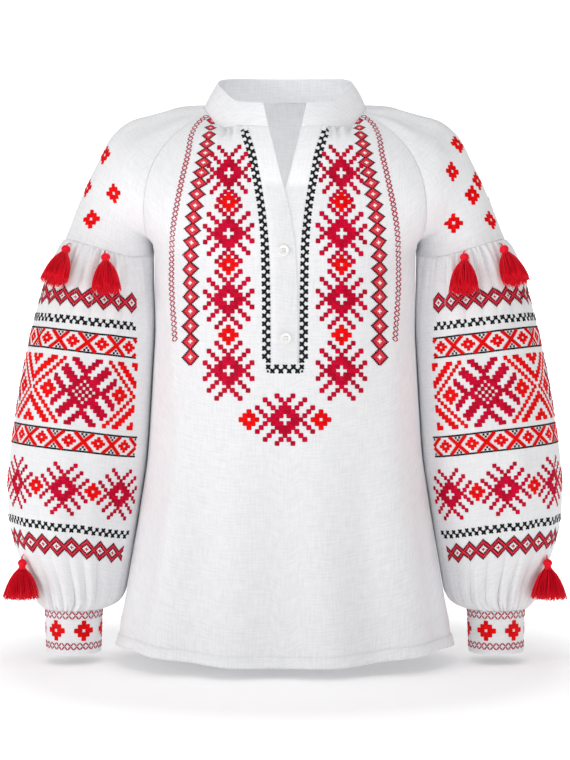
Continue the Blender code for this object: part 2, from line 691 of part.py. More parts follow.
def button(name, height, rows):
    """A round button with a raised rim and four holes, on the over band."""
    place, slope = band_face(rows, height)
    mesh = bmesh.new()
    tops, backs = [], []
    for ring in BUTTON:
        for level, store in ((ring.front, tops), (ring.back, backs)):
            points = []
            for side in range(BUTTON_SIDES if ring.radius else 1):
                turn = 2.0 * math.pi * side / BUTTON_SIDES
                spot = Vector((math.cos(turn) * ring.radius, math.sin(turn) * ring.radius, level))
                points.append(mesh.verts.new(spot * MM))
            store.append(points)
    open_cells = {(BUTTON_HOLE_RING, side) for start in range(1, BUTTON_SIDES, BUTTON_SIDES // 4)
                  for side in (start, start + 1)}
    cells = {(ring, side) for ring in range(len(BUTTON) - 1) for side in range(BUTTON_SIDES)}
    for ring, side in sorted(cells - open_cells):
        corners = ((ring, side), (ring + 1, side), (ring + 1, side + 1), (ring, side + 1))
        for store, order in ((tops, 1), (backs, -1)):
            spots = []
            for row, column in corners:
                spot = store[row][column % len(store[row])]
                if spot not in spots:
                    spots.append(spot)
            mesh.faces.new(spots[::order])
    for top_ring, back_ring in zip(tops[1:], backs[1:]):
        for side in range(BUTTON_SIDES):
            onward = (side + 1) % BUTTON_SIDES
            close_edge(mesh, top_ring[side], top_ring[onward], back_ring[side], back_ring[onward])
    for ring, side in sorted(open_cells):
        for column in (side, side + 1):
            near, far = tops[ring], tops[ring + 1]
            near_back, far_back = backs[ring], backs[ring + 1]
            close_edge(mesh, near[column], far[column], near_back[column], far_back[column])
    bmesh.ops.recalc_face_normals(mesh, faces=mesh.faces)
    body = add_object(name, mesh, BUTTON_WHITE, BUTTON_ROUGHNESS)
    lean = math.radians(90.0) + slope
    body.matrix_world = Matrix.Translation(place * MM) @ Matrix.Rotation(lean, 4, "X")


def close_edge(mesh, top, top_onward, back, back_onward):
    """Closes an edge between the front and the back of a button, where the edge is open."""
    edge = mesh.edges.get((top, top_onward))
    if edge is not None and len(edge.link_faces) == 1:
        mesh.faces.new((top, top_onward, back_onward, back))


def band_face(rows, height):
    """The place just above the middle of the over band's face, and the face's lean."""
    upper, lower = next(
        (above[2], below[2]) for above, below in zip(rows, rows[1:]) if below[2].z <= height
    )
    share = (upper.z - height) / (upper.z - lower.z)
    place = upper.lerp(lower, share)
    slope = math.atan2(lower.y - upper.y, upper.z - lower.z)
    return place + Vector((0.0, -BUTTON_GAP, 0.0)), slope


def puff_place(turn, z, off):
    """A place off the lower sleeve on the +X side, and the way out of the cloth there."""
    turn = math.radians(turn)
    rings = (HEAD_RINGS[-1],) + PUFF_RINGS
    places = []
    for ring in rings:
        outer = Vector((ring.outer_x, ring.y, ring.outer_z))
        inner = Vector((ring.inner_x, ring.y, ring.inner_z))
        half = (outer - inner) / 2.0
        depth = half.length * ring.flat
        places.append((outer + inner) / 2.0 - half * math.cos(turn)
                      + Vector((0.0, -depth * math.sin(turn), 0.0)))
    upper, lower = next(pair for pair in zip(places, places[1:]) if pair[1].z <= z)
    share = (upper.z - z) / (upper.z - lower.z)
    out = Vector((-math.cos(turn), -math.sin(turn), 0.0))
    return upper.lerp(lower, share) + out * off, out


def tube(mesh, rings):
    """Closes rings of points, all of one count, into a tube with flat ends."""
    sides = len(rings[0])
    for upper, lower in zip(rings, rings[1:]):
        for number in range(sides):
            onward = (number + 1) % sides
            mesh.faces.new((upper[number], upper[onward], lower[onward], lower[number]))
    mesh.faces.new(list(reversed(rings[0])))
    mesh.faces.new(rings[-1])


def tassel_axes(side, spec):
    """A tassel's top and its ways down, across and out."""
    mirror = Vector((side, 1.0, 1.0))
    top, _ = puff_place(spec.turn, spec.z, spec.off)
    end, _ = puff_place(spec.end_turn, spec.end_z, spec.end_off)
    _, face = puff_place(spec.face, spec.end_z, 0.0)
    down = ((end - top) * mirror).normalized()
    face = face * mirror
    face = (face - down * face.dot(down)).normalized()
    return top * mirror, down, down.cross(face), face


def tassel_head(axes):
    """The loop, the bound head and the roots of the strands, in one body."""
    top, down, across, face = axes
    mesh = bmesh.new()
    rings = []
    for distance, radius in HEAD_PROFILE:
        ring = []
        for number in range(HEAD_SIDES):
            turn = 2.0 * math.pi * number / HEAD_SIDES
            around = across * math.cos(turn) + face * math.sin(turn)
            ring.append(mesh.verts.new((top + down * distance + around * radius) * MM))
        rings.append(ring)
    tube(mesh, rings)
    bmesh.ops.recalc_face_normals(mesh, faces=mesh.faces)
    return mesh


def tassel_strands(axes, spec):
    """Three-sided strands, spread evenly over the skirt."""
    top, down, across, face = axes
    mesh = bmesh.new()
    root = HEAD_PROFILE[-1][0] - STRAND_ROOT_DEPTH
    for number in range(STRANDS):
        reach = math.sqrt((number + 0.5) / STRANDS)
        turn = number * GOLDEN_TURN
        rings = []
        for share in STRAND_SHARES:
            widened = (spec.width - SKIRT_ROOT) * share ** SKIRT_BELL
            drop = root + spec.length * share * (1.0 - SKIRT_ROUND * reach * share)
            middle = (top + down * drop
                      + across * math.cos(turn) * reach * (SKIRT_ROOT + widened)
                      + face * math.sin(turn) * reach * (SKIRT_ROOT + widened * SKIRT_FLATNESS))
            thick = STRAND_ROOT_RADIUS + (STRAND_TIP_RADIUS - STRAND_ROOT_RADIUS) * share
            ring = []
            for corner in range(3):
                spin = turn + corner * 2.0 * math.pi / 3.0
                around = across * math.cos(spin) + face * math.sin(spin)
                ring.append(mesh.verts.new((middle + around * thick) * MM))
            rings.append(ring)
        tube(mesh, rings)
    bmesh.ops.recalc_face_normals(mesh, faces=mesh.faces)
    return mesh


def tassel(side, name, spec):
    """A tassel: a bound head with its loop, and strands rooted in the head."""
    axes = tassel_axes(side, spec)
    cutter = add_object(name + "_strands", tassel_strands(axes, spec), TASSEL_RED, TASSEL_ROUGHNESS)
    cutter.hide_render = True
    cutter.display_type = "WIRE"
    body = add_object(name, tassel_head(axes), TASSEL_RED, TASSEL_ROUGHNESS)
    join = body.modifiers.new("strands", "BOOLEAN")
    join.operation = "UNION"
    join.object = cutter


def main():
    """Builds the blouse in an empty scene."""
    for thing in list(bpy.data.objects):
        bpy.data.objects.remove(thing)

    skin = Skin()
    rows, cut = front_panel(skin)
    back_panel(skin)
    over_rows = placket_bands(skin, rows, cut)
    sleeve(skin, 1, "left")
    sleeve(skin, -1, "right")
    collar(skin)

    normals = skin.normals()
    seams = set(skin.drawn)
    for faces in skin.panels.values():
        seams |= border_of(faces)
    walls = {"collar": COLLAR_CLOTH, "cuff_left": CUFF_CLOTH, "cuff_right": CUFF_CLOTH}
    for panel in skin.panels:
        mesh = panel_mesh(skin, normals, panel, walls.get(panel, CLOTH), seams)
        add_object(panel, mesh, CLOTH_WHITE, CLOTH_ROUGHNESS)

    for number, height in enumerate(BUTTON_HEIGHTS, start=1):
        button(f"button_{number}", height, over_rows)
    for side, side_name in ((1, "left"), (-1, "right")):
        for spec in TASSELS:
            tassel(side, f"tassel_{side_name}_{spec.name}", spec)


main()
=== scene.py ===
"""The looks of a folk blouse: sewn linen panels, cross-stitch, buttons and tassels.

Every panel is laid out again on the rows that its solid was built from, only much finer, and
gets its folds, gathers and wall. Stitches, tassel strands and seams then lie on that cloth.
Tables are in millimetres. +X is the wearer's left, -Y is the front, +Z is up.
"""

import logging
import math
from collections.abc import Iterable, Sequence
from dataclasses import dataclass, field
from enum import Enum
from typing import NamedTuple

import bmesh
import bpy
import numpy as np
from mathutils import Matrix, Vector
from mathutils.bvhtree import BVHTree


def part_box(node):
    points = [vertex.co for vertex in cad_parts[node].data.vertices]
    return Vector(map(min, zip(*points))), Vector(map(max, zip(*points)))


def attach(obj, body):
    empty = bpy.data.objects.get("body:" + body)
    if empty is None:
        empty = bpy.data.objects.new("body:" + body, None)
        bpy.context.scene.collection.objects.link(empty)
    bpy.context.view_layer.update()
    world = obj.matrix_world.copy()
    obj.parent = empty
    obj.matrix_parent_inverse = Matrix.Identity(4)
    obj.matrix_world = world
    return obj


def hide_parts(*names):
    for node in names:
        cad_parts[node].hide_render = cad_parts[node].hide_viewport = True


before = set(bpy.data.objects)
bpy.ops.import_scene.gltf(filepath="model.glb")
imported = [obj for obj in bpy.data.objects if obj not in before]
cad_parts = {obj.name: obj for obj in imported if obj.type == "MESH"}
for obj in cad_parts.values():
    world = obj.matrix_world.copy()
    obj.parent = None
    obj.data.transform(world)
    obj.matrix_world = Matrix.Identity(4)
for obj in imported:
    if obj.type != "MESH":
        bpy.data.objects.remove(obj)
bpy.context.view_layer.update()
LOG = logging.getLogger("blouse")

MM = 0.001

# ---- the cut of the blouse, mm ---------------------------------------------------
COLLAR_CENTRE_Y = -5.0
DROOP_SPREAD = 0.22
RAGLAN_FILL = 15.0                          # how far the front raglan seam is pulled forward
RAGLAN_FILL_SPREAD = 38.0
FRONT_RAGLAN_ANGLE = math.radians(108.0)
BACK_RAGLAN_ANGLE = math.radians(62.0)
BODY_ROUNDNESS = 0.87
PLACKET_BOTTOM = -291.5
PLACKET_LAP = 4.5
PLACKET_RISE = 1.6
PLACKET_SHOULDER = 4.0
PLACKET_RISE_TOP = -60.0
PLACKET_RISE_REACH = 45.0
GATHERS = 20
UNDERARM_CALM = 0.70
SEAM_CALM = 0.08


class Yoke(NamedTuple):
    """A row between the collar and the armpit."""

    front_seam: tuple[float, float, float]
    back_seam: tuple[float, float, float]
    front_mid: tuple[float, float]
    back_mid: tuple[float, float]
    front_wrap: float
    back_wrap: float
    crown: tuple[float, float, float]


YOKE = (
    Yoke((110, -49, -27), (101, 55, -10), (-94, -50), (84, 2), 52, 52, (124, 4, 1)),
    Yoke((131, -60, -48), (121, 71, -35), (-103, -70), (90, -22), 55, 55, (152, 4, -8)),
    Yoke((146, -66, -74), (138, 79, -66), (-112, -94), (94, -52), 60, 62, (178, 3, -17)),
    Yoke((154, -65, -102), (149, 79, -98), (-119, -120), (96, -86), 66, 68, (198, 1, -34)),
    Yoke((157, -51, -131), (155, 63, -127), (-124, -147), (97, -118), 73, 74, (214, 0, -62)),
    Yoke((155, -22, -151), (154, 32, -149), (-126, -166), (97, -146), 82, 82, (226, -1, -86)),
)


class Body(NamedTuple):
    """A row of the body below the armpit."""

    side_x: float
    side_y: float
    side_z: float
    front_y: float
    front_z: float
    back_y: float
    back_z: float


BODY = (
    Body(151.0, 5, -157, -126, -180, 97, -168),
    Body(149.5, 4, -205, -127, -217, 97, -209),
    Body(148.5, 3, -248, -127, -258, 98, -252),
    Body(150.5, 2, -292, -127, PLACKET_BOTTOM, 99, -296),
    Body(153.5, 1, -345, -127, -352, 101, -349),
    Body(157.5, 0, -402, -127, -409, 103, -406),
    Body(165.5, -1, -456, -128, -463, 105, -460),
    Body(173.5, -2, -508, -129, -516, 107, -512),
    Body(182.0, -3, -558, -130, -567, 109, -562),
    Body(190.0, -4, -602, -131, -611, 111, -606),
    Body(190.2, -4, -603.5, -131, -612.5, 111, -607.5),
    Body(192.0, -4, -614, -131, -623, 111, -618),
)
ARMPIT_ROW = len(YOKE) + 1
CUT_ROW = ARMPIT_ROW + 3                    # the placket's cut ends at this row
HEM_ROW = ARMPIT_ROW + len(BODY) - 3        # the turned hem starts at this row
HEM_STITCH_ROW = HEM_ROW - 0.03
CLOSE_ROWS = (0.03, 0.08, 0.15, 0.3, HEM_ROW - 0.1, HEM_STITCH_ROW, HEM_ROW + 0.4)


class Placket(NamedTuple):
    """Half the placket's width and the free edges of its bands, at a height."""

    z: float
    seam: float
    over_edge: float
    under_edge: float


PLACKET = (
    Placket(-33.6, 41.5, -18.2, 18.2),
    Placket(-62.0, 33.0, -11.4, 11.4),
    Placket(-97.0, 26.5, -3.2, 3.2),
    Placket(-111.0, 24.5, 0.6, -1.0),
    Placket(-130.0, 21.5, 5.0, -6.0),
    Placket(-162.0, 18.3, 10.2, -9.0),
    Placket(-206.0, 16.3, 13.2, -9.0),
    Placket(-300.0, 15.3, 13.4, -9.0),
    Placket(-640.0, 15.3, 13.4, -9.0),
)


class Fold(NamedTuple):
    """A soft upright fold: place across the half turn, start height, depth and spread."""

    place: float
    start: float
    depth: float
    spread: float


FRONT_FOLDS = (
    Fold(-0.66, -330, -3.0, 0.08), Fold(-0.48, -290, 5.5, 0.10), Fold(-0.33, -330, -6.0, 0.09),
    Fold(-0.17, -310, 5.5, 0.09), Fold(-0.02, -330, -5.0, 0.09), Fold(0.14, -300, 6.0, 0.09),
    Fold(0.32, -320, -6.5, 0.10), Fold(0.52, -280, 5.0, 0.09), Fold(0.70, -330, -3.0, 0.07),
)
HEM_LIFT = (6.5, 0.62, 0.35)                # rise of the front hem beside its middle, mm, at
#                                             this place, and its spread; it grows
HEM_LIFT_FROM = (-440.0, 170.0)             # below this height, over this much
BACK_FOLDS = (
    Fold(-0.80, -230, -1.5, 0.07), Fold(-0.62, -280, -4.5, 0.09), Fold(-0.38, -200, 5.5, 0.10),
    Fold(-0.12, -260, -4.0, 0.10), Fold(0.14, -190, 5.0, 0.10), Fold(0.40, -270, -4.5, 0.10),
    Fold(0.63, -220, 5.0, 0.09), Fold(0.80, -300, -2.0, 0.07),
)
HEAD_FOLD_DEPTH = (0.0, 1.6, 2.6, 2.4, 1.6, 0.9, 0.4, 0.2, 0.0, 0.0, 0.0)
HEAD_FOLDS = 4


class Ring(NamedTuple):
    """A ring of the sleeve: its outer and inner ends, its middle's y and its flatness."""

    outer_x: float
    outer_z: float
    inner_x: float
    inner_z: float
    y: float
    flat: float
    gather: float
    fold: float

    def points(self, share: np.ndarray) -> np.ndarray:
        """Points round the ring, from its inner end over the front."""
        turn = math.tau * share
        outer = np.array((self.outer_x, self.y, self.outer_z))
        inner = np.array((self.inner_x, self.y, self.inner_z))
        half = (outer - inner) / 2.0
        points = (outer + inner) / 2.0 - half * np.cos(turn)[:, None]
        points[:, 1] -= np.linalg.norm(half) * self.flat * np.sin(turn)
        return points


HEAD_RINGS = (
    Ring(236, -109, 158.0, -167.0, 1.0, 1.02, 0.0, 0.0),
    Ring(244, -131, 161.0, -174.0, -3.0, 0.99, 0.0, 0.0),
    Ring(251, -152, 163.0, -179.5, -7.0, 0.96, 0.0, 0.0),
)
PUFF_RINGS = (
    HEAD_RINGS[-1],
    Ring(256.5, -161, 160.5, -187.5, -7.0, 0.96, 2.2, 0.0),
    Ring(266, -180, 157.0, -204.0, -8.0, 0.95, 3.1, 0.0),
    Ring(278, -215, 153.8, -236.0, -9.0, 0.94, 2.2, 0.0),
    Ring(288, -254, 152.5, -272.0, -9.5, 0.93, 0.7, 0.9),
    Ring(297, -297, 154.5, -312.0, -10.0, 0.93, 0.0, 0.9),
    Ring(307, -355, 158.5, -367.0, -11.0, 0.92, 0.0, 0.7),
    Ring(314, -414, 165.0, -423.0, -11.5, 0.92, 0.0, 1.2),
    Ring(313, -470, 172.5, -476.0, -12.0, 0.92, 0.5, 1.4),
    Ring(304, -508, 179.5, -511.5, -12.0, 0.93, 1.9, 0.5),
    Ring(288, -543, 186.0, -545.0, -12.0, 0.95, 2.8, 0.0),
    Ring(281, -563, 192.0, -564.5, -12.0, 0.96, 2.4, 0.0),
    Ring(274, -573, 208.0, -573.5, -12.0, 1.00, 0.0, 0.0),
)
CUFF_RINGS = (
    PUFF_RINGS[-1],
    Ring(273.5, -578, 208.5, -578.5, -12.0, 1.0, 0.0, 0.0),
    Ring(272.5, -600, 209.5, -600.5, -12.0, 1.0, 0.0, 0.0),
    Ring(272.0, -622, 210.0, -622.5, -12.0, 1.0, 0.0, 0.0),
)


class TasselPlace(NamedTuple):
    """Where a tassel hangs: turns round the sleeve, heights and distances off the cloth."""

    name: str
    turn: float
    z: float
    off: float
    end_turn: float
    end_z: float
    end_off: float
    face: float
    length: float
    width: float


TASSELS = (
    TasselPlace("front", 82, -169.3, 5.4, 77, -215.7, 19.5, 77, 37.5, 17.5),
    TasselPlace("side", 132, -160.0, 7.8, 122, -204.2, 21.0, 122, 37.5, 18.5),
    TasselPlace("cuff", 146, -510.4, 2.6, 141, -557.9, 28.0, 108, 33.0, 22.5),
)


class Crease(NamedTuple):
    """A soft ridge (depth above 0) or trough, between two places in the cloth's own sizes."""

    start: tuple[float, float]
    end: tuple[float, float]
    depth: float
    width: float
    open_start: bool = False                # keeps its full depth at its start


# ---- numbers --------------------------------------------------------------------
def smooth(value: np.ndarray | float) -> np.ndarray:
    """0 below 0, 1 above 1, and a soft step between."""
    value = np.clip(value, 0.0, 1.0)
    return value * value * (3.0 - 2.0 * value)


def through(rows: np.ndarray, at: np.ndarray) -> np.ndarray:
    """Smooth curves through the rows, one for each column.

    Args:
        rows: Values by row, column and channel; the first three channels are a place.
        at: Row numbers, with fractions, to take.

    Returns:
        The values at those row numbers, by sample, column and channel.
    """
    steps = np.maximum(np.linalg.norm(np.diff(rows[..., :3], axis=0), axis=2), 1e-3)[..., None]
    slopes = np.diff(rows, axis=0) / steps
    tangents = np.empty_like(rows)
    tangents[1:-1] = (slopes[:-1] * steps[1:] + slopes[1:] * steps[:-1]) / (steps[:-1] + steps[1:])
    tangents[0], tangents[-1] = slopes[0], slopes[-1]
    first = np.clip(np.floor(at).astype(int), 0, len(rows) - 2)
    share = (at - first)[:, None, None]
    span = steps[first]
    square, cube = share ** 2, share ** 3
    near, far = rows[first], rows[first + 1]
    near_way, far_way = tangents[first], tangents[first + 1]
    return ((2 * cube - 3 * square + 1) * near + (cube - 2 * square + share) * span * near_way
            + (3 * square - 2 * cube) * far + (cube - square) * span * far_way)


def row_steps(rows: np.ndarray, spacing: float, extra: Iterable[float] = ()) -> np.ndarray:
    """Row numbers, with fractions, about spacing mm apart, with extra ones added.

    Args:
        rows: The rows: places by row and column.
        spacing: The wanted distance, mm.
        extra: Row numbers to add, such as ones close to a seam.

    Returns:
        The row numbers, in order.
    """
    lengths = np.linalg.norm(np.diff(rows[..., :3], axis=0), axis=2).mean(axis=1)
    at = [0.0]
    for number, length in enumerate(lengths):
        count = max(1, round(length / spacing))
        at.extend(number + step / count for step in range(1, count + 1))
    return np.unique(np.round(np.array(at + list(extra)), 6))


def shares(count: int, close: Sequence[float] = ()) -> np.ndarray:
    """Even shares from 0 to 1, with extra ones close to both ends."""
    even = np.linspace(0.0, 1.0, count + 1)
    return np.unique(np.concatenate([even, np.array(close), 1.0 - np.array(close)]))


def arc_lengths(line: np.ndarray) -> np.ndarray:
    """How far each place of a line lies along it."""
    return np.concatenate([[0.0], np.cumsum(np.linalg.norm(np.diff(line, axis=0), axis=1))])


def place_at(line: np.ndarray, arc: np.ndarray, at: float) -> Vector:
    """The place of a line at a distance along it.

    Args:
        line: Its places.
        arc: How far each of them lies along it.
        at: The distance.

    Returns:
        The place.
    """
    return Vector([np.interp(at, arc, line[:, axis]) for axis in range(3)])


def table_value(z: np.ndarray | float, column: str) -> np.ndarray:
    """A column of the placket's table at a height."""
    heights = [-row.z for row in PLACKET]
    return np.interp(-np.asarray(z, float), heights, [getattr(row, column) for row in PLACKET])


# ---- objects ----------------------------------------------------------------------
class Slot(Enum):
    """The record's finishes."""

    LINEN = "linen"
    SLEEVE = "sleeve_cloth"
    BUTTON = "button"
    TASSEL = "tassel"


def new_object(name: str, data: bpy.types.ID) -> bpy.types.Object:
    """A new object with this mesh, lamp or camera, linked to the scene."""
    thing = bpy.data.objects.new(name, data)
    bpy.context.scene.collection.objects.link(thing)
    return thing


def finished(work: bmesh.types.BMesh, name: str) -> bpy.types.Object:
    """An object from a mesh under work."""
    mesh = bpy.data.meshes.new(name)
    work.to_mesh(mesh)
    work.free()
    return new_object(name, mesh)


def bake_modifiers(piece: bpy.types.Object) -> bpy.types.Mesh:
    """Gives a piece the mesh that its modifiers make, and removes them."""
    graph = bpy.context.evaluated_depsgraph_get()
    made = bpy.data.meshes.new_from_object(piece.evaluated_get(graph), depsgraph=graph)
    piece.modifiers.clear()
    piece.data = made
    return made


def settle(piece: bpy.types.Object, node: str | None = None) -> None:
    """Puts a piece on the body, and hides the solid that it replaces if it has one.

    Args:
        piece: The piece.
        node: The node that it replaces.
    """
    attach(piece, "root")
    if node:
        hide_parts(node)


def skin(work: bmesh.types.BMesh, uv: object, rings: Sequence[Sequence[bmesh.types.BMVert]],
         step: float, ends: bool = True) -> None:
    """Joins rings of points with faces that carry a thread's UVs.

    Args:
        work: The mesh.
        uv: Its UV layer.
        rings: The points, ring after ring.
        step: How far the UVs go from one point of a ring to the next.
        ends: Whether the first and last rings are closed.
    """
    for number, (upper, lower) in enumerate(zip(rings, rings[1:])):
        for k in range(len(upper)):
            onward = (k + 1) % len(upper)
            face = work.faces.new((upper[k], upper[onward], lower[onward], lower[k]))
            face.smooth = True
            for loop, (down, over) in zip(face.loops, ((0, 0), (0, 1), (1, 1), (1, 0))):
                loop[uv].uv = (number + down, (k + over) * step)
    if ends:
        work.faces.new(list(reversed(rings[0])))
        work.faces.new(rings[-1])


def circle(work: bmesh.types.BMesh, centre: Vector, one: Vector, other: Vector, radius: float,
           sides: int, ripple: float = 0.0) -> list[bmesh.types.BMVert]:
    """A ring of new points, rippled as a bundle of threads is.

    Args:
        work: The mesh.
        centre: The ring's middle, mm.
        one: The way to its first point.
        other: The way to the point a quarter turn on.
        radius: Its radius, mm.
        sides: How many points it has.
        ripple: The share by which every second point is drawn in.

    Returns:
        The points.
    """
    ring = []
    for k in range(sides):
        turn = math.tau * k / sides
        way = (one * math.cos(turn) + other * math.sin(turn)) * (radius * (1.0 - ripple * (k % 2)))
        ring.append(work.verts.new((centre + way) * MM))
    return ring


# ---- grids of cloth ---------------------------------------------------------------
@dataclass
class Grid:
    """A surface of cloth: rows run down it, and columns run counterclockwise from above."""

    points: np.ndarray
    closed: bool = False
    centre: int = 0
    kept: np.ndarray | None = None
    flat: np.ndarray = field(init=False)

    def __post_init__(self) -> None:
        """Measures the cloth, before it gets any folds, for its weave and its creases."""
        down = np.linalg.norm(np.diff(self.points, axis=0), axis=2)
        across = np.linalg.norm(np.diff(self.points, axis=1), axis=2)
        down = np.concatenate([np.zeros((1, down.shape[1])), np.cumsum(down, axis=0)])
        across = np.concatenate([np.zeros((across.shape[0], 1)), np.cumsum(across, axis=1)], axis=1)
        across -= across[:, self.centre:self.centre + 1]
        self.flat = np.stack([across, down], axis=2)

    def outward(self) -> np.ndarray:
        """The directions out of the cloth at its points."""
        down = np.gradient(self.points, axis=0)
        if self.closed:
            ring = self.points[:, :-1]
            across = np.roll(ring, -1, axis=1) - np.roll(ring, 1, axis=1)
            across = np.concatenate([across, across[:, :1]], axis=1)
        else:
            across = np.gradient(self.points, axis=1)
        out = np.cross(down, across)
        return out / np.maximum(np.linalg.norm(out, axis=2, keepdims=True), 1e-9)

    def push(self, depth: np.ndarray, out: np.ndarray | None = None) -> None:
        """Moves the points out by a depth, along their own or the given directions."""
        self.points = self.points + (self.outward() if out is None else out) * depth[..., None]

    def creased(self, creases: Iterable[Crease]) -> np.ndarray:
        """The depths that a list of creases gives this cloth."""
        total = np.zeros(self.flat.shape[:2])
        for crease in creases:
            start = np.array(crease.start)
            axis = np.array(crease.end) - start
            share = ((self.flat - start) @ axis) / (axis @ axis)
            share = np.clip(share, 0.0, 1.0)
            off = np.linalg.norm(self.flat - start - share[..., None] * axis, axis=2)
            fade = smooth((1.0 - share) / 0.6)
            if not crease.open_start:
                fade = fade * smooth(share / 0.35)
            total += crease.depth * fade * np.exp(-((off / crease.width) ** 2))
        return total

    def from_sides(self) -> np.ndarray:
        """The distance of every point from the nearer side."""
        across = self.flat[..., 0]
        return np.minimum(across[:, -1:] - across, across - across[:, :1])

    def faces(self) -> np.ndarray:
        """The corners of the kept cells, by row and column."""
        rows, columns = self.points.shape[:2]
        kept = np.ones((rows - 1, columns - 1), bool) if self.kept is None else self.kept
        row, column = np.nonzero(kept)
        corners = [(row, column), (row + 1, column), (row + 1, column + 1), (row, column + 1)]
        return np.stack([np.stack(corner, axis=1) for corner in corners], axis=1)

    def mirror(self) -> "Grid":
        """The same cloth on the wearer's other side."""
        other = Grid(self.points[:, ::-1] * np.array([-1.0, 1.0, 1.0]), self.closed)
        other.flat = self.flat[:, ::-1] * np.array([-1.0, 1.0])
        other.kept = None if self.kept is None else self.kept[:, ::-1]
        return other

    def build(self, name: str) -> bpy.types.Object:
        """A one-layer mesh of this cloth, with a UV map of its flat sizes in metres."""
        rows, columns = self.points.shape[:2]
        width = columns - 1 if self.closed else columns
        corners = self.faces()
        indexes = corners[..., 0] * width + corners[..., 1] % width
        points = self.points[:, :width].reshape(-1, 3) * MM
        mesh = bpy.data.meshes.new(name)
        mesh.from_pydata(points.tolist(), [], indexes.tolist())
        uv = self.flat[corners[..., 0], corners[..., 1]] * np.array([MM, -MM])
        mesh.uv_layers.new(name="cloth").data.foreach_set("uv", uv.ravel())
        mesh.polygons.foreach_set("use_smooth", [True] * len(mesh.polygons))
        work = bmesh.new()
        work.from_mesh(mesh)
        loose = [vertex for vertex in work.verts if not vertex.link_faces]
        bmesh.ops.delete(work, geom=loose, context="VERTS")
        bmesh.ops.remove_doubles(work, verts=work.verts, dist=0.02 * MM)
        work.to_mesh(mesh)
        work.free()
        return new_object(name, mesh)


class Cloth:
    """A finished surface that stitches are put on."""

    def __init__(self, grid: Grid) -> None:
        """Keeps the grid's outer surface in a search tree, in mm."""
        self.grid = grid
        columns = grid.points.shape[1]
        corners = grid.faces()
        indexes = corners[..., 0] * columns + corners[..., 1]
        self.tree = BVHTree.FromPolygons(grid.points.reshape(-1, 3).tolist(), indexes.tolist())

    def drop(self, x: float, z: float) -> tuple[Vector, Vector]:
        """The place and the way out of the cloth at this x and z, as seen from the front."""
        place, out, _, _ = self.tree.ray_cast(Vector((x, -1000.0, z)), Vector((0.0, 1.0, 0.0)))
        if place is None:
            place, out, _, _ = self.tree.find_nearest(Vector((x, -110.0, z)))
        return place, out

    def near(self, place: Vector) -> tuple[Vector, Vector]:
        """The nearest place on the cloth and the way out there."""
        found, out, _, _ = self.tree.find_nearest(place)
        return found, out


LEAN_GAP = 0.6
LEAN_TURN = 358.0                           # turn of the sleeve that lies against the body, and
LEAN_SPREAD = (21.0, 42.0)                  # how far the pull spreads in front and behind
LEAN_LIFT = 8.0                             # the gathered seam rises beside the body
LEAN_LIFT_SPREAD = 38.0
LEAN_END = (-575.0, -550.0)                 # heights between which the sleeve leaves the body


@dataclass
class Neighbour:
    """The finished body, which a sleeve lies against from the armpit down."""

    cloths: Sequence[Cloth]
    side: float

    def reach(self, y: float, z: float) -> float:
        """How far out the body reaches at this y and z; far inside if it is not there."""
        start, way = Vector((self.side * 400.0, y, z)), Vector((-self.side, 0.0, 0.0))
        places = [cloth.tree.ray_cast(start, way)[0] for cloth in self.cloths]
        return max((place.x * self.side for place in places if place is not None), default=-999.0)

    def lean(self, points: np.ndarray, share: np.ndarray, amount: np.ndarray,
             lift: np.ndarray) -> None:
        """Draws the inner side of a sleeve to the body.

        Args:
            points: The sleeve's points on the +X side, by row and column, which are moved.
            share: Each column's share of a turn round the sleeve.
            amount: How much of the way each row goes.
            lift: How much of the seam's rise each row has.
        """
        off = (share * 360.0 + 180.0) % 360.0 - 180.0
        rise = LEAN_LIFT * np.exp(-((off / LEAN_LIFT_SPREAD) ** 2))
        points[..., 2] += rise[None] * lift[:, None]
        off = (share * 360.0 - LEAN_TURN + 180.0) % 360.0 - 180.0
        pull = np.exp(-((off / np.where(off > 0.0, *LEAN_SPREAD)) ** 2))
        for row, column in np.argwhere((amount[:, None] > 0.0) & (np.abs(off) < 60.0)[None]):
            x, y, z = points[row, column]
            gap = x - LEAN_GAP - self.reach(y, z)
            if gap > 100.0:
                continue
            held = smooth((z - LEAN_END[0]) / (LEAN_END[1] - LEAN_END[0])) * amount[row]
            points[row, column, 0] -= gap * (pull[column] * held if gap > 0.0 else held)


# ---- rows of the body -------------------------------------------------------------
class NeckOval(NamedTuple):
    """An oval round the neck, open at the throat: the collar's seam or its upper edge."""

    half_width: float
    half_depth: float
    gap: float                              # half the opening at the throat
    height: tuple[float, float, float]      # at the side, and how it leans and bends forward
    droop: tuple[float, float]              # extra fall at the front corners, and the cosine
    #                                         of the angle where it is deepest

    def points(self, angle: np.ndarray) -> np.ndarray:
        """Points at angles from the back centre, over +X."""
        lean = np.cos(angle)
        fall = self.droop[0] * np.exp(-(((lean - self.droop[1]) / DROOP_SPREAD) ** 2))
        side, forward, bend = self.height
        return np.stack([
            self.half_width * np.sin(angle),
            COLLAR_CENTRE_Y + self.half_depth * lean,
            side + forward * lean + bend * lean * lean + fall,
        ], axis=-1)

    def front_angle(self, x: np.ndarray | float) -> np.ndarray:
        """The angle, past the side, at which the oval has this x."""
        return math.pi - np.arcsin(np.asarray(x) / self.half_width)


COLLAR_BASE = NeckOval(93.0, 80.0, 18.2, (0.0, 25.6, -8.0), (-11.0, -0.62))
COLLAR_TOP = NeckOval(77.0, 70.0, 24.0, (28.5, 25.5, -9.0), (-6.5, -0.70))


def eased(value: np.ndarray | float) -> np.ndarray:
    """A sine or cosine, eased so that the body is a little boxier than an ellipse."""
    return np.sign(value) * np.abs(value) ** BODY_ROUNDNESS


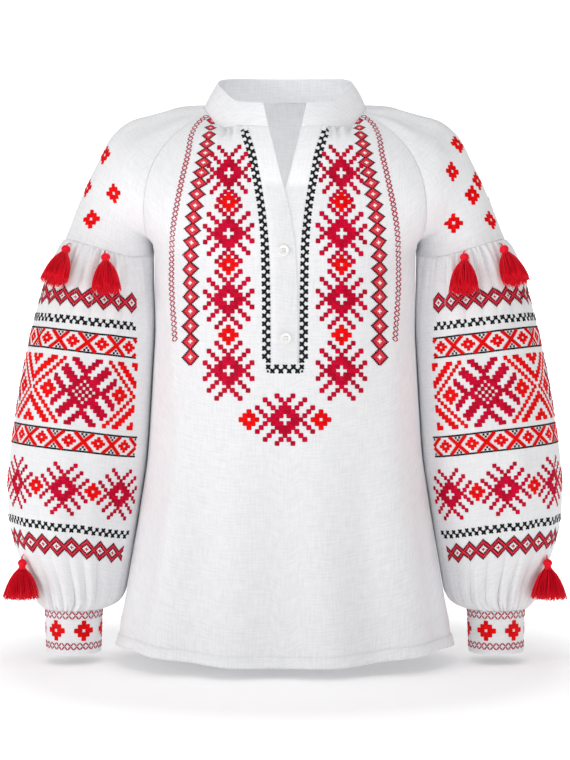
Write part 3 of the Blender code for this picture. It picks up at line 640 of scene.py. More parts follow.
class BodyRow(NamedTuple):
    """A row of the front or back: its side seam, its middle and where it ends."""

    seam: tuple[float, float, float]
    middle_y: float
    middle_z: float
    wrap: float

    def at_turn(self, turn: np.ndarray) -> np.ndarray:
        """Points at turns from the middle; negative turns lie on the -X side."""
        edge = float(eased(math.cos(self.wrap))) if self.wrap < math.pi / 2 - 1e-6 else 0.0
        rise = (1.0 - eased(np.cos(turn))) / (1.0 - edge)
        return np.stack([
            self.seam[0] * eased(np.sin(turn)) / eased(math.sin(self.wrap)),
            self.middle_y + (self.seam[1] - self.middle_y) * rise,
            self.middle_z + (self.seam[2] - self.middle_z) * rise,
        ], axis=-1)

    def turn_at(self, x: np.ndarray | float) -> np.ndarray:
        """The turns at which this row has these x."""
        reach = np.abs(x) / self.seam[0] * eased(math.sin(self.wrap))
        return np.sign(x) * np.arcsin(reach ** (1.0 / BODY_ROUNDNESS))


def body_rows(front: bool) -> list[BodyRow]:
    """The rows of the front or the back, from row 1 down."""
    rows = []
    for row in YOKE:
        seam, middle, wrap = ((row.front_seam, row.front_mid, row.front_wrap) if front
                              else (row.back_seam, row.back_mid, row.back_wrap))
        rows.append(BodyRow(seam, *middle, math.radians(wrap)))
    for row in BODY:
        middle = (row.front_y, row.front_z) if front else (row.back_y, row.back_z)
        rows.append(BodyRow((row.side_x, row.side_y, row.side_z), *middle, math.pi / 2))
    return rows


def seam_curve(front: bool, at: np.ndarray) -> np.ndarray:
    """The raglan and side seam on the +X side, at row numbers."""
    angle = FRONT_RAGLAN_ANGLE if front else BACK_RAGLAN_ANGLE
    points = [COLLAR_BASE.points(np.array(angle))]
    points += [np.array(row.seam, float) for row in body_rows(front)]
    return through(np.array(points)[:, None], at)[:, 0]


def fold_depth(folds: Iterable[Fold], place: np.ndarray, z: np.ndarray, hem_z: float) -> np.ndarray:
    """How far the folds push points out or in.

    Args:
        folds: The folds.
        place: The share of the half turn of each point.
        z: Its height.
        hem_z: The height at which the folds are full.

    Returns:
        The depths; they are calm at the side seams.
    """
    depth = np.zeros_like(z)
    for fold in folds:
        grown = smooth((fold.start - z) / (0.65 * (fold.start - hem_z)))
        depth += fold.depth * grown * np.exp(-(((place - fold.place) / fold.spread) ** 2))
    return depth * smooth((1.0 - np.abs(place)) / SEAM_CALM)


def hem_step(at: np.ndarray) -> np.ndarray:
    """How far the turned hem stands out, with the valley that its stitches pull."""
    below = np.clip(at - HEM_ROW, 0.0, 2.0)
    return 0.9 * below - 0.9 * np.exp(-(((at - HEM_ROW) / 0.2) ** 2))


def raglan_fill(at: np.ndarray, edge: np.ndarray) -> np.ndarray:
    """How far forward the cloth is pulled beside the front raglan seam."""
    rows = smooth((at - 0.8) / 4.2) * smooth((ARMPIT_ROW - at) / 1.2)
    return RAGLAN_FILL * rows[:, None] * np.exp(-((edge / RAGLAN_FILL_SPREAD) ** 2))


def seam_dip(distance: np.ndarray, depth: float = 0.3, width: float = 2.2) -> np.ndarray:
    """The soft valley that a seam pulls into the cloth beside it.

    Args:
        distance: From the seam.
        depth: Of the valley.
        width: How far it spreads.

    Returns:
        The depths, below 0.
    """
    return -depth * np.exp(-((distance / width) ** 2))


# ---- colours and materials --------------------------------------------------------
def linear(code: str) -> tuple[float, float, float, float]:
    """An sRGB hex colour as linear values with full alpha."""
    values = [int(code[start:start + 2], 16) / 255.0 for start in (1, 3, 5)]
    return (*(v / 12.92 if v <= 0.04045 else ((v + 0.055) / 1.055) ** 2.4 for v in values), 1.0)


def plug(tree: bpy.types.NodeTree, node: bpy.types.Node, links: dict) -> bpy.types.Node:
    """Sets a node's inputs.

    Args:
        tree: The tree that the node is in.
        node: The node.
        links: Its inputs by name or number, each a value, a socket, or another node, whose
            first output in use is taken.

    Returns:
        The node.
    """
    for key, value in links.items():
        socket = node.inputs[key] if isinstance(key, int) else next(
            item for item in node.inputs if item.name == key and item.enabled)
        if isinstance(value, bpy.types.Node):
            value = next(item for item in value.outputs if item.enabled)
        if isinstance(value, bpy.types.NodeSocket):
            tree.links.new(value, socket)
        else:
            socket.default_value = value
    return node


def add_node(tree: bpy.types.NodeTree, kind: str, links: dict | None = None,
             **settings: object) -> bpy.types.Node:
    """A new node of a kind, with its own settings and its inputs.

    Args:
        tree: The tree that gets it.
        kind: Its type.
        links: Its inputs, as plug takes them.
        **settings: Its own settings.

    Returns:
        The node.
    """
    node = tree.nodes.new(kind)
    for name, value in settings.items():
        setattr(node, name, value)
    return plug(tree, node, links or {})


def blend(tree: bpy.types.NodeTree, factor: bpy.types.NodeSocket | bpy.types.Node, low: str,
          high: str) -> bpy.types.Node:
    """A node that blends two hex colours.

    Args:
        tree: The tree that gets it.
        factor: What sets its place between them.
        low: The colour at 0.
        high: The colour at 1.

    Returns:
        The node.
    """
    links = {"Factor": factor, "A": linear(low), "B": linear(high)}
    return add_node(tree, "ShaderNodeMix", links, data_type="RGBA")


def new_material(name: str) -> tuple[bpy.types.Material, bpy.types.NodeTree, bpy.types.Node]:
    """A material with its tree and its shader."""
    material = bpy.data.materials.new(name)
    material.use_nodes = True
    return material, material.node_tree, material.node_tree.nodes["Principled BSDF"]


@dataclass(frozen=True)
class WovenLinen:
    """Bleached plain-weave cloth: matt, softly hairy, with thicker slub threads both ways."""

    name: str
    colour: str = "#F4F4F6"
    shade: str = "#E9EAED"
    thread: float = 1.9         # mm; a real thread is 0.7 mm, drawn coarser so that it shows
    slub: float = 20.0          # mm; the length of a thicker stretch of thread
    relief: float = 0.2         # mm
    roughness: float = 0.9
    glow: float = 0.5           # how much light passes into the thin cloth, and how far, mm
    depth: float = 4.0

    def make(self) -> bpy.types.Material:
        """Builds the material on the cloth's own UV map, in metres."""
        material, tree, shader = new_material(self.name)
        place = add_node(tree, "ShaderNodeUVMap", uv_map="cloth")
        frequency = math.pi / 10.0 / (self.thread * MM)
        stretch = (1.0 / (self.thread * MM), 1.0 / (self.slub * MM), 1.0)
        waves, slubs = [], []
        for way, scale in (("X", stretch), ("Y", (stretch[1], stretch[0], 1.0))):
            wave = add_node(tree, "ShaderNodeTexWave",
                            {"Vector": place, "Scale": frequency, "Distortion": 1.4, "Detail": 2.0,
                             "Detail Scale": 0.35}, bands_direction=way)
            waves.append(wave.outputs["Fac"])
            mapped = add_node(tree, "ShaderNodeMapping", {"Vector": place, "Scale": scale})
            slub = add_node(tree, "ShaderNodeTexNoise",
                            {"Vector": mapped, "Scale": 1.0, "Detail": 2.0, "Roughness": 0.6})
            slubs.append(slub.outputs["Fac"])
        weave = add_node(tree, "ShaderNodeMath", {0: waves[0], 1: waves[1]}, operation="MULTIPLY")
        slub = add_node(tree, "ShaderNodeMath", {0: slubs[0], 1: slubs[1]}, operation="ADD")
        height = add_node(tree, "ShaderNodeMath", {0: weave, 1: slub}, operation="ADD")
        tone = add_node(tree, "ShaderNodeMapRange",
                        {"Value": slub, "From Min": 0.75, "From Max": 1.2})
        plug(tree, shader, {
            "Base Color": blend(tree, tone, self.shade, self.colour),
            "Normal": add_node(tree, "ShaderNodeBump",
                               {"Height": height, "Strength": 0.55, "Distance": self.relief * MM}),
            "Roughness": self.roughness, "Subsurface Weight": self.glow,
            "Subsurface Radius": (1.0, 1.0, 1.0), "Subsurface Scale": self.depth * MM,
            "Sheen Weight": 0.15, "Sheen Roughness": 0.5, "Specular IOR Level": 0.25,
        })
        return material


@dataclass(frozen=True)
class Floss:
    """Stranded embroidery cotton: satiny, with a fine twist, and no two stitches quite alike."""

    name: str
    colour: str
    deep: str
    strand: float = 0.35        # share of a stitch's width taken by one strand
    roughness: float = 0.55
    sheen: float = 0.1
    gloss: float = 0.08
    rim: float = 1.5            # painted shade: how fast a stitch darkens towards its sides, for the shade between stitches

    def make(self) -> bpy.types.Material:
        """Builds the material; each stitch has its own tone, strands along its thread, and painted
        shade towards its sides.
        """
        material, tree, shader = new_material(self.name)
        tone = add_node(tree, "ShaderNodeAttribute", attribute_name="tone").outputs["Fac"]
        place = add_node(tree, "ShaderNodeUVMap", uv_map="thread")
        strands = add_node(tree, "ShaderNodeTexWave",
                           {"Vector": place, "Scale": math.pi / 10.0 / self.strand,
                            "Distortion": 0.6, "Detail": 1.0}, bands_direction="Y")
        side = add_node(tree, "ShaderNodeSeparateXYZ", {"Vector": place}).outputs["Y"]
        side = add_node(tree, "ShaderNodeMath", {0: side}, operation="ABSOLUTE")
        light = add_node(tree, "ShaderNodeMapRange", {"Value": tone, "To Min": 0.45})
        # painted shade: the colour darkens towards the stitch's sides, by rim, for the shade that
        # falls between stitches
        light = add_node(tree, "ShaderNodeMath", {0: side, 1: -self.rim, 2: light},
                         operation="MULTIPLY_ADD", use_clamp=True)
        plug(tree, shader, {
            "Base Color": blend(tree, light, self.deep, self.colour),
            "Normal": add_node(tree, "ShaderNodeBump",
                               {"Height": strands.outputs["Fac"], "Strength": 0.4,
                                "Distance": 0.12 * MM}),
            "Roughness": self.roughness, "Sheen Weight": self.sheen,
            "Sheen Tint": linear(self.colour), "Specular IOR Level": self.gloss,
        })
        return material


@dataclass(frozen=True)
class ButtonResin:
    """Cast polyester button: white, glossy and faintly cloudy."""

    name: str = "cast resin"
    colour: str = "#F6F6F4"
    cloud: str = "#E9E9E6"

    def make(self) -> bpy.types.Material:
        """Builds the material on object coordinates."""
        material, tree, shader = new_material(self.name)
        place = add_node(tree, "ShaderNodeTexCoord").outputs["Object"]
        cloud = add_node(tree, "ShaderNodeTexNoise", {"Vector": place, "Scale": 1.0 / (4.0 * MM)})
        plug(tree, shader, {
            "Base Color": blend(tree, cloud.outputs["Fac"], self.cloud, self.colour),
            "Roughness": 0.28, "Coat Weight": 0.3,
        })
        return material


class Thread(Enum):
    """The threads of the embroidery and the sewing."""

    # rim sets how strongly painted shade darkens each floss's stitches towards their sides
    CRIMSON = Floss("crimson floss", "#DC0038", "#96001E")
    SCARLET = Floss("scarlet floss", "#FF060C", "#C40006")
    CORAL = Floss("coral floss", "#EC5058", "#C82C3C")
    ROSE = Floss("rose floss", "#B4183E", "#9C1030", rim=0.4)
    BLACK = Floss("black floss", "#1C2022", "#0C0F10", sheen=0.0, rim=0.6)
    WHITE = Floss("white sewing thread", "#F6F6F7", "#ECECEF", rim=0.0)
    TASSEL = Floss("tassel silk", "#FF0A2C", "#D20018", roughness=0.4, gloss=0.2, rim=0.0)


class Store:
    """The materials, each made once."""

    made: dict[object, bpy.types.Material] = {}

    @classmethod
    def get(cls, finish: WovenLinen | Floss | ButtonResin) -> bpy.types.Material:
        """The material of a finish."""
        if finish not in cls.made:
            cls.made[finish] = finish.make()
        return cls.made[finish]


LINEN = WovenLinen("bleached linen")
FINE_LINEN = WovenLinen("fine linen of the sleeves", thread=2.0, relief=0.16, shade="#EBECEF")


# ---- small repeats ----------------------------------------------------------------
class Unit(Enum):
    """The small things that repeat."""

    FULL_CROSS = "full_cross"
    OPEN_CROSS = "open_cross"
    FINE_CROSS = "fine_cross"
    BAR = "bar"
    STRAND = "strand"


def bar_mesh(work: bmesh.types.BMesh, length: float, width: float, height: float,
             turn: float, base: float, ridge: Sequence[float]) -> None:
    """Adds one rounded stitch of unit size, pointed at both ends, to a mesh.

    Args:
        work: The mesh.
        length: From tip to tip.
        width: Across the middle.
        height: Of the ridge.
        turn: Of the stitch, about +Z.
        base: The height of its rim.
        ridge: Shares of the length at which the ridge has its points.
    """
    spin = Matrix.Rotation(turn, 3, "Z")
    uv = work.loops.layers.uv.get("thread") or work.loops.layers.uv.new("thread")
    taper = min(width * 0.45, length * 0.25)
    rim = [(-length / 2, 0.0), (-length / 2 + taper, -width / 2), (length / 2 - taper, -width / 2),
           (length / 2, 0.0), (length / 2 - taper, width / 2), (-length / 2 + taper, width / 2)]
    spots = [work.verts.new(spin @ Vector((x, y, base))) for x, y in rim]
    tops = [work.verts.new(spin @ Vector(((share - 0.5) * length, 0.0, base + height)))
            for share in ridge]
    sides = [(spots[0], spots[1], tops[0]), (spots[1], spots[2], tops[-1], tops[0]),
             (spots[2], spots[3], tops[-1]), (spots[3], spots[4], tops[-1]),
             (spots[4], spots[5], tops[0], tops[-1]), (spots[5], spots[0], tops[0])]
    back = spin.inverted()
    for corners in sides:
        face = work.faces.new([corner for number, corner in enumerate(corners)
                               if corner not in corners[:number]])
        face.smooth = True
        for loop in face.loops:
            local = back @ loop.vert.co
            loop[uv].uv = (local.x, local.y / max(width, 1e-6))


class CrossShape(NamedTuple):
    """Two crossed bars: their length and width against a cell, the lower one's height, ridge."""

    length: float
    width: float
    lower: float
    ridge: tuple[float, ...]


CROSSES = {
    Unit.FULL_CROSS: CrossShape(1.12, 0.80, 0.7, (0.32, 0.68)),
    Unit.OPEN_CROSS: CrossShape(1.02, 0.52, 0.7, (0.3, 0.7)),
    Unit.FINE_CROSS: CrossShape(1.10, 0.80, 0.8, (0.5,)),
}
UPPER_RIM = 0.05                            # how far the upper bar's rim stands off the cloth
STRAND_RINGS = 6
STRAND_BULGE = 0.075
STRAND_SCALE = 0.03                         # thickness of the strand as a share of its length


def unit_object(unit: Unit) -> bpy.types.Object:
    """A unit-size source object for one kind of repeat; it is deleted after its use."""
    work = bmesh.new()
    if unit in CROSSES:
        cross = CROSSES[unit]
        length = math.sqrt(2.0) * cross.length
        for height, turn, base in ((cross.lower, math.pi / 4, 0.0), (1.0, -math.pi / 4, UPPER_RIM)):
            bar_mesh(work, length, cross.width, height, turn, base, cross.ridge)
    elif unit is Unit.BAR:
        bar_mesh(work, 1.0, 1.0, 1.0, 0.0, 0.0, (0.2, 0.8))
    else:
        strand_mesh(work)
    return finished(work, unit.value)


def strand_mesh(work: bmesh.types.BMesh) -> None:
    """One hanging strand, from 0 down to -1, that bows out to +X."""
    uv = work.loops.layers.uv.new("thread")
    rings = []
    for number in range(STRAND_RINGS):
        share = number / (STRAND_RINGS - 1)
        bow = STRAND_BULGE * math.sin(math.pi * share ** 0.8)
        thick = 0.42 + 0.12 * share - (0.2 if number == STRAND_RINGS - 1 else 0.0)
        turns = [math.tau * corner / 3 + 0.6 * share for corner in range(3)]
        rings.append([work.verts.new((bow + thick * math.cos(turn) * STRAND_SCALE,
                                      thick * math.sin(turn) * STRAND_SCALE, -share))
                      for turn in turns])
    skin(work, uv, rings, 1 / 3)
    bmesh.ops.recalc_face_normals(work, faces=work.faces)


def repeat_tree() -> bpy.types.NodeTree:
    """A Geometry Nodes tree that puts one small thing on every point of a mesh.

    Returns:
        The tree, whose inputs are the thing, its wobble, its spread of sizes, the seed and the
        finish. The points carry a turn and a size.
    """
    tree = bpy.data.node_groups.new("stitches on points", "GeometryNodeTree")
    for name, kind in (("Geometry", "Geometry"), ("Unit", "Object"), ("Wobble", "Float"),
                       ("Spread", "Float"), ("Seed", "Int"), ("Finish", "Material")):
        tree.interface.new_socket(name, in_out="INPUT", socket_type=f"NodeSocket{kind}")
    tree.interface.new_socket("Geometry", in_out="OUTPUT", socket_type="NodeSocketGeometry")
    given = add_node(tree, "NodeGroupInput").outputs
    unit = add_node(tree, "GeometryNodeObjectInfo", {"Object": given["Unit"]})
    turn, size = (add_node(tree, "GeometryNodeInputNamedAttribute", {"Name": name},
                           data_type="FLOAT_VECTOR") for name in ("turn", "size"))
    turned = add_node(tree, "FunctionNodeEulerToRotation", {0: turn})
    least, most = (add_node(tree, "ShaderNodeMath", {0: 1.0, 1: given["Spread"]}, operation=way)
                   for way in ("SUBTRACT", "ADD"))
    grow = add_node(tree, "FunctionNodeRandomValue",
                    {"Min": least, "Max": most, "Seed": given["Seed"]}, data_type="FLOAT")
    scale = add_node(tree, "ShaderNodeVectorMath", {0: size, "Scale": grow}, operation="SCALE")
    placed = add_node(tree, "GeometryNodeInstanceOnPoints",
                      {"Points": given["Geometry"], "Instance": unit.outputs["Geometry"],
                       "Rotation": turned, "Scale": scale})
    back = add_node(tree, "ShaderNodeMath", {0: given["Wobble"], 1: -1.0}, operation="MULTIPLY")
    lean = add_node(tree, "FunctionNodeRandomValue",
                    {"Min": back, "Max": given["Wobble"], "Seed": given["Seed"]},
                    data_type="FLOAT")
    spin = add_node(tree, "ShaderNodeCombineXYZ", {"Z": lean})
    spun = add_node(tree, "FunctionNodeEulerToRotation", {0: spin})
    wobbled = add_node(tree, "GeometryNodeRotateInstances",
                       {"Instances": placed, "Rotation": spun, "Local Space": True})
    tone = add_node(tree, "FunctionNodeRandomValue", {"Seed": given["Seed"]}, data_type="FLOAT")
    kept = add_node(tree, "GeometryNodeStoreNamedAttribute",
                    {"Geometry": wobbled, "Name": "tone", "Value": tone},
                    data_type="FLOAT", domain="INSTANCE")
    real = add_node(tree, "GeometryNodeRealizeInstances", {"Geometry": kept})
    dressed = add_node(tree, "GeometryNodeSetMaterial",
                       {"Geometry": real, "Material": given["Finish"]})
    add_node(tree, "NodeGroupOutput", {"Geometry": dressed})
    return tree


class Spot(NamedTuple):
    """One repeat's place, its own axes and its size, in mm."""

    place: Vector
    across: Vector
    out: Vector
    size: tuple[float, float, float]

    def mirrored(self) -> "Spot":
        """The same repeat on the wearer's other side."""
        flip = Vector((-1.0, 1.0, 1.0))
        return Spot(self.place * flip, -(self.across * flip), self.out * flip, self.size)


@dataclass
class Repeater:
    """Turns lists of spots into joined meshes."""

    tree: bpy.types.NodeTree = field(default_factory=repeat_tree)
    seed: int = 0

    def build(self, name: str, unit: Unit, finish: Floss, spots: Sequence[Spot],
              wobble: float = 0.06, spread: float = 0.05) -> bpy.types.Object:
        """One mesh with a copy of the unit at each spot.

        Args:
            name: The new piece's name.
            unit: What repeats.
            finish: Its thread.
            spots: The places.
            wobble: The most that a copy is turned, in radians.
            spread: The most that its size differs, as a share.

        Returns:
            The new piece.
        """
        mesh = bpy.data.meshes.new(name)
        mesh.from_pydata([spot.place * MM for spot in spots], [], [])
        turns, sizes = [], []
        for spot in spots:
            out = spot.out.normalized()
            across = (spot.across - out * spot.across.dot(out)).normalized()
            axes = Matrix((across, out.cross(across), out)).transposed()
            turns.extend(axes.to_euler())
            sizes.extend(value * MM for value in spot.size)
        mesh.attributes.new("turn", "FLOAT_VECTOR", "POINT").data.foreach_set("vector", turns)
        mesh.attributes.new("size", "FLOAT_VECTOR", "POINT").data.foreach_set("vector", sizes)
        piece = new_object(name, mesh)
        source = unit_object(unit)
        self.seed += 1
        modifier = piece.modifiers.new("repeat", "NODES")
        modifier.node_group = self.tree
        values = {"Unit": source, "Wobble": wobble, "Spread": spread, "Seed": self.seed,
                  "Finish": Store.get(finish)}
        for item in self.tree.interface.items_tree:
            if item.in_out == "INPUT" and item.name in values:
                modifier[item.identifier] = values[item.name]
        bake_modifiers(piece).name = name
        bpy.data.objects.remove(source)
        return piece


# ---- charts -----------------------------------------------------------------------
STITCH_FILL = 1.1           # a stitch's size against its cell, as floss swells over its edges
Cell = tuple[int, int, Thread]
LETTERS = {"R": Thread.CRIMSON, "B": Thread.SCARLET, "S": Thread.CORAL, "K": Thread.BLACK,
           "W": Thread.WHITE}


def quarter_chart(rows: Sequence[str], turned: bool = False) -> list[Cell]:
    """A chart from its upper right quarter; rows run up from the middle, letters outward."""
    cells = {}
    for row, line in enumerate(rows):
        for column, letter in enumerate(line):
            if letter in LETTERS:
                x, y = (row, column) if turned else (column, row)
                for way_x in (-1, 1):
                    for way_y in (-1, 1):
                        cells[(x * way_x, y * way_y)] = LETTERS[letter]
    return [(x, y, thread) for (x, y), thread in sorted(cells.items())]


FRONT_STAR = ("..RRR", ".RRR.R", "RRR...R", "RR.R", "R...R", ".R...R", "..R", "...R")
SLEEVE_STAR = ("..RRR", ".RRR.R", "RRR...R", "RR.R...R", "R...R", ".R...R", "..R", "...R")
SMALL_DIAMOND = (".BB", "BB", "B")
CHAIN_LINK = ("WWSSSRK", "WSSSRK", "SSSRK", "SSRK", "SRK", "RK")


def zigzag_chart() -> list[Cell]:
    """One repeat of the zigzag of outlined diamonds, 12 columns wide and 17 rows tall."""
    rings = {8: Thread.BLACK, 7: Thread.CRIMSON, 6: Thread.CORAL, 5: Thread.CRIMSON,
             4: Thread.BLACK, 2: Thread.WHITE, 1: Thread.CORAL, 0: Thread.CRIMSON}
    cells = []
    for x in range(-6, 6):
        for y in range(-8, 9):
            thread = rings.get(abs(x) + abs(y))
            if thread:
                cells.append((x, y, thread))
    return cells


BROAD_PERIOD = 34


def broad_chart() -> list[Cell]:
    """One repeat of the sleeve's broad band: a rayed star between chevrons, 19 rows tall."""
    cells: dict[tuple[int, int], Thread] = {}
    half = BROAD_PERIOD // 2
    for x in range(-half, half):
        for y in range(-9, 10):
            i, j = abs(x), abs(y)
            if i + j == 16 or i + j in (19, 20):
                cells[(x, y)] = Thread.SCARLET
            if i == half and j == 7 or i >= half - 1 and j == 8 or 1 <= half - i <= 2 and j == 9:
                cells[(x, y)] = Thread.SCARLET
            if 0 < abs(i - 11) + j <= 2:
                cells[(x, y)] = Thread.SCARLET
            least, most = sorted((i, j))
            core = most <= 3 or (most == 4 and least <= 1) or (most == 5 and least == 0)
            ray = 6 <= most <= 9 and least in (most - 6, most - 5)
            slant = most - least <= 1 and 6 <= i + j <= 13
            if (core or ray or slant) and not (i + j <= 3 and (i + j) % 2):
                cells[(x, y)] = Thread.CRIMSON
    return [(x, y, thread) for (x, y), thread in sorted(cells.items())]


# ---- needlework -------------------------------------------------------------------
ROSE_BAR = (1.5, 0.5)                       # width and thickness of the open chains' stitches
TOPSTITCH_LENGTH = 2.5
TOPSTITCH_PITCH = 3.4
TOPSTITCH_BAR = (0.5, 0.32)                 # width and thickness
TOPSTITCH_SUNK = 0.1


@dataclass
class Needlework:
    """The stitches of one panel, gathered by their thread and kind."""

    panel: str
    cloth: Cloth
    spots: dict[tuple[Unit, Thread], list[Spot]] = field(default_factory=dict)

    def put(self, unit: Unit, thread: Thread, spot: Spot) -> None:
        """Adds one stitch."""
        self.spots.setdefault((unit, thread), []).append(spot)

    def lay(self, chart: Iterable[Cell], origin: Vector, across: Vector, out: Vector,
            cell: tuple[float, float], unit: Unit, thick: float) -> None:
        """Works a chart on the cloth round a place.

        Args:
            chart: The cells.
            origin: The chart's middle.
            across: The way of its rows.
            out: The way out of the cloth there.
            cell: A cell's width and height.
            unit: The kind of stitch.
            thick: How far a stitch stands off the cloth.
        """
        across = (across - out * across.dot(out)).normalized()
        up = out.cross(across)
        for column, row, thread in chart:
            place = origin + across * (column * cell[0]) + up * (row * cell[1])
            found, way = self.cloth.near(place)
            size = (cell[0] * STITCH_FILL, cell[1] * STITCH_FILL, thick)
            self.put(unit, thread, Spot(found, across, way, size))

    def small_diamond(self, place: Vector, cell: float) -> None:
        """A small scarlet diamond, upright on the cloth near a place."""
        found, out = self.cloth.near(place)
        around = Vector((0.0, 0.0, 1.0)).cross(out)
        self.lay(quarter_chart(SMALL_DIAMOND), found, around, out, (cell, cell),
                 Unit.FULL_CROSS, 0.7)

    def open_diamond(self, start: Vector, tips: Iterable[Vector], end: Vector) -> None:
        """Four straight stitches, laid on the cloth from the start over each tip to the end.

        Args:
            start: Where the diamond starts.
            tips: Its two other corners.
            end: Where it ends.
        """
        for tip in tips:
            for near, far in ((start, tip), (tip, end)):
                found, way = self.cloth.near((near + far) / 2.0)
                size = ((far - near).length, *ROSE_BAR)
                self.put(Unit.BAR, Thread.ROSE, Spot(found, far - near, way, size))

    def topstitch(self, line: np.ndarray, out: np.ndarray) -> None:
        """A row of running stitches along a line of places and ways out."""
        arc = arc_lengths(line)
        half = TOPSTITCH_LENGTH / 2
        for at in np.arange(TOPSTITCH_PITCH, arc[-1] - TOPSTITCH_PITCH * 0.5, TOPSTITCH_PITCH):
            start, end = (place_at(line, arc, at + part) for part in (-half, half))
            way = place_at(out, arc, at)
            middle = (start + end) / 2.0 - way.normalized() * TOPSTITCH_SUNK
            size = ((end - start).length, *TOPSTITCH_BAR)
            self.put(Unit.BAR, Thread.WHITE, Spot(middle, end - start, way, size))

    def mirror(self) -> None:
        """Moves the stitches to the wearer's other side."""
        self.spots = {key: [spot.mirrored() for spot in spots]
                      for key, spots in self.spots.items()}

    def build(self, repeater: Repeater, slot: Slot) -> list[bpy.types.Object]:
        """One piece for each thread and kind of stitch."""
        pieces = []
        for (unit, thread), spots in self.spots.items():
            name = f"{self.panel}_{thread.name.lower()}_{unit.value}"
            piece = repeater.build(name, unit, thread.value, spots)
            settle(piece)
            pieces.append(piece)
        return pieces


def turned_scale(part: float) -> float:
    """How much larger work is on cloth that turns away, so that it keeps its size in front.

    Args:
        part: How far the way out of the cloth leans along the side to be measured.

    Returns:
        The scale, held within reason.
    """
    return 1.0 / math.sqrt(max(0.4, 1.0 - part ** 2))


def path_points(points: Sequence[tuple[float, float]], cloth: Cloth,
                pitch: tuple[float, float]) -> list[tuple[Vector, Vector, Vector]]:
    """Places along a smooth path on the front, with the path's way and the way out.

    Args:
        points: The path's x and z.
        cloth: The cloth that it lies on.
        pitch: The wanted distances between places at the path's start and end, as seen from
            the front; the last place is the path's end.

    Returns:
        A place, the direction of the path and the way out of the cloth, for each step.
    """
    coarse = np.array([(x, 0.0, z) for x, z in points], float)[:, None]
    fine = through(coarse, np.linspace(0, len(points) - 1, 40 * len(points)))[:, 0]
    arc = arc_lengths(fine)
    growth = pitch[1] / pitch[0]
    mean = (pitch[1] - pitch[0]) / math.log(growth) if abs(growth - 1.0) > 1e-6 else pitch[0]
    count = max(1, round(arc[-1] / mean))
    result = []
    for number in range(count + 1):
        share = number / count
        if abs(growth - 1.0) > 1e-6:
            share = (growth ** share - 1.0) / (growth - 1.0)
        (near, _), (far, _), (place, out) = (
            cloth.drop(*(np.interp(arc[-1] * share + part, arc, fine[:, axis]) for axis in (0, 2)))
            for part in (-1.0, 1.0, 0.0))
        result.append((place, (far - near).normalized(), out))
    return result


# ---- cloth pieces -----------------------------------------------------------------
class Cut(NamedTuple):
    """The sheet that a panel is cut from, in metres, and its wall and rounding, in mm."""

    flat: tuple[float, float]
    area: float
    held: str
    wall: float = 1.2
    rounding: float = 0.0


PLACKET_CUT = Cut((0.036, 0.27), 0.0078, "stretched", rounding=0.35)
CUTS = {
    "front": Cut((0.66, 0.64), 0.29, "hung"),
    "back": Cut((0.62, 0.64), 0.30, "hung"),
    "placket_over": PLACKET_CUT,
    "placket_under": PLACKET_CUT,
    "collar": Cut((0.49, 0.036), 0.0165, "stretched", 2.2, 0.7),
    "sleeve_upper": Cut((0.34, 0.22), 0.052, "hung"),
    "sleeve_lower": Cut((0.50, 0.42), 0.20, "gathered"),
    "cuff": Cut((0.208, 0.049), 0.0101, "stretched", 2.0, 0.6),
}
FINISHES = {Slot.LINEN: LINEN, Slot.SLEEVE: FINE_LINEN}
HEM_WALL = 2.4
FRONT_HEM_FROM = -606.0                     # the hem has two layers below these heights
BACK_HEM_FROM = -602.0


@dataclass
class Panel:
    """A piece of cloth with its wall, its stitches and its cut."""

    node: str
    cut: Cut
    slot: Slot = Slot.LINEN
    piece: bpy.types.Object | None = None
    pieces: list[bpy.types.Object] = field(default_factory=list)

    def dress(self, grid: Grid, hem_from: float | None = None) -> None:
        """Builds the cloth, gives it its wall and puts it in its solid's place.

        Args:
            grid: The finished surface.
            hem_from: The lowest height above which the cloth has one layer, if it has a hem.
        """
        self.piece = grid.build(f"{self.node}_cloth")
        wall = self.piece.modifiers.new("wall", "SOLIDIFY")
        wall.thickness = self.cut.wall * MM
        wall.offset = -1.0
        if hem_from is not None:
            hem = self.piece.vertex_groups.new(name="hem")
            for vertex in self.piece.data.vertices:
                share = 1.0 if vertex.co.z < hem_from * MM else self.cut.wall / HEM_WALL
                hem.add([vertex.index], share, "REPLACE")
            wall.thickness = HEM_WALL * MM
            wall.vertex_group = hem.name
        if self.cut.rounding:
            edge = self.piece.modifiers.new("rounded edge", "BEVEL")
            edge.width = self.cut.rounding * MM
            edge.segments = 2
            edge.limit_method = "ANGLE"
            edge.angle_limit = math.radians(50.0)
        self.piece.data.materials.append(Store.get(FINISHES[self.slot]))
        settle(self.piece, self.node)

    def declare(self) -> None:
        """Does nothing."""


def body_grid(rows: np.ndarray, at: np.ndarray, folds: Sequence[Fold], facing: float,
              hem_z: float) -> tuple[Grid, np.ndarray]:
    """The front or back with its soft upright folds.

    Args:
        rows: Its rows: places, and the share of the half turn at which they lie.
        at: The row numbers to take.
        folds: Its folds.
        facing: -1 for the front, 1 for the back.
        hem_z: The height of its hem.

    Returns:
        The surface, and the share of the half turn of every point.
    """
    fine = through(rows, at)
    grid = Grid(fine[..., :3], centre=fine.shape[1] // 2)
    place = fine[..., 3]
    turn = place * math.pi / 2
    out = np.stack([np.sin(turn), facing * np.cos(turn), np.zeros_like(turn)], axis=2)
    grid.push(fold_depth(folds, place, grid.points[..., 2], hem_z), out)
    return grid, place


def seamed(grid: Grid, depth: np.ndarray, place: np.ndarray, at: np.ndarray) -> np.ndarray:
    """Calms the front's or back's creases at its seams, and adds its seams and its hem.

    Args:
        grid: The cloth.
        depth: The depths of its creases.
        place: The share of the half turn of every point.
        at: The row numbers.

    Returns:
        The new depths.
    """
    depth = depth * (smooth((1.0 - np.abs(place)) / 0.03) * 0.9 + 0.1)
    depth = depth + (seam_dip(grid.from_sides(), 0.04) + seam_dip(grid.flat[..., 1], 0.3))
    return depth + hem_step(at)[:, None]


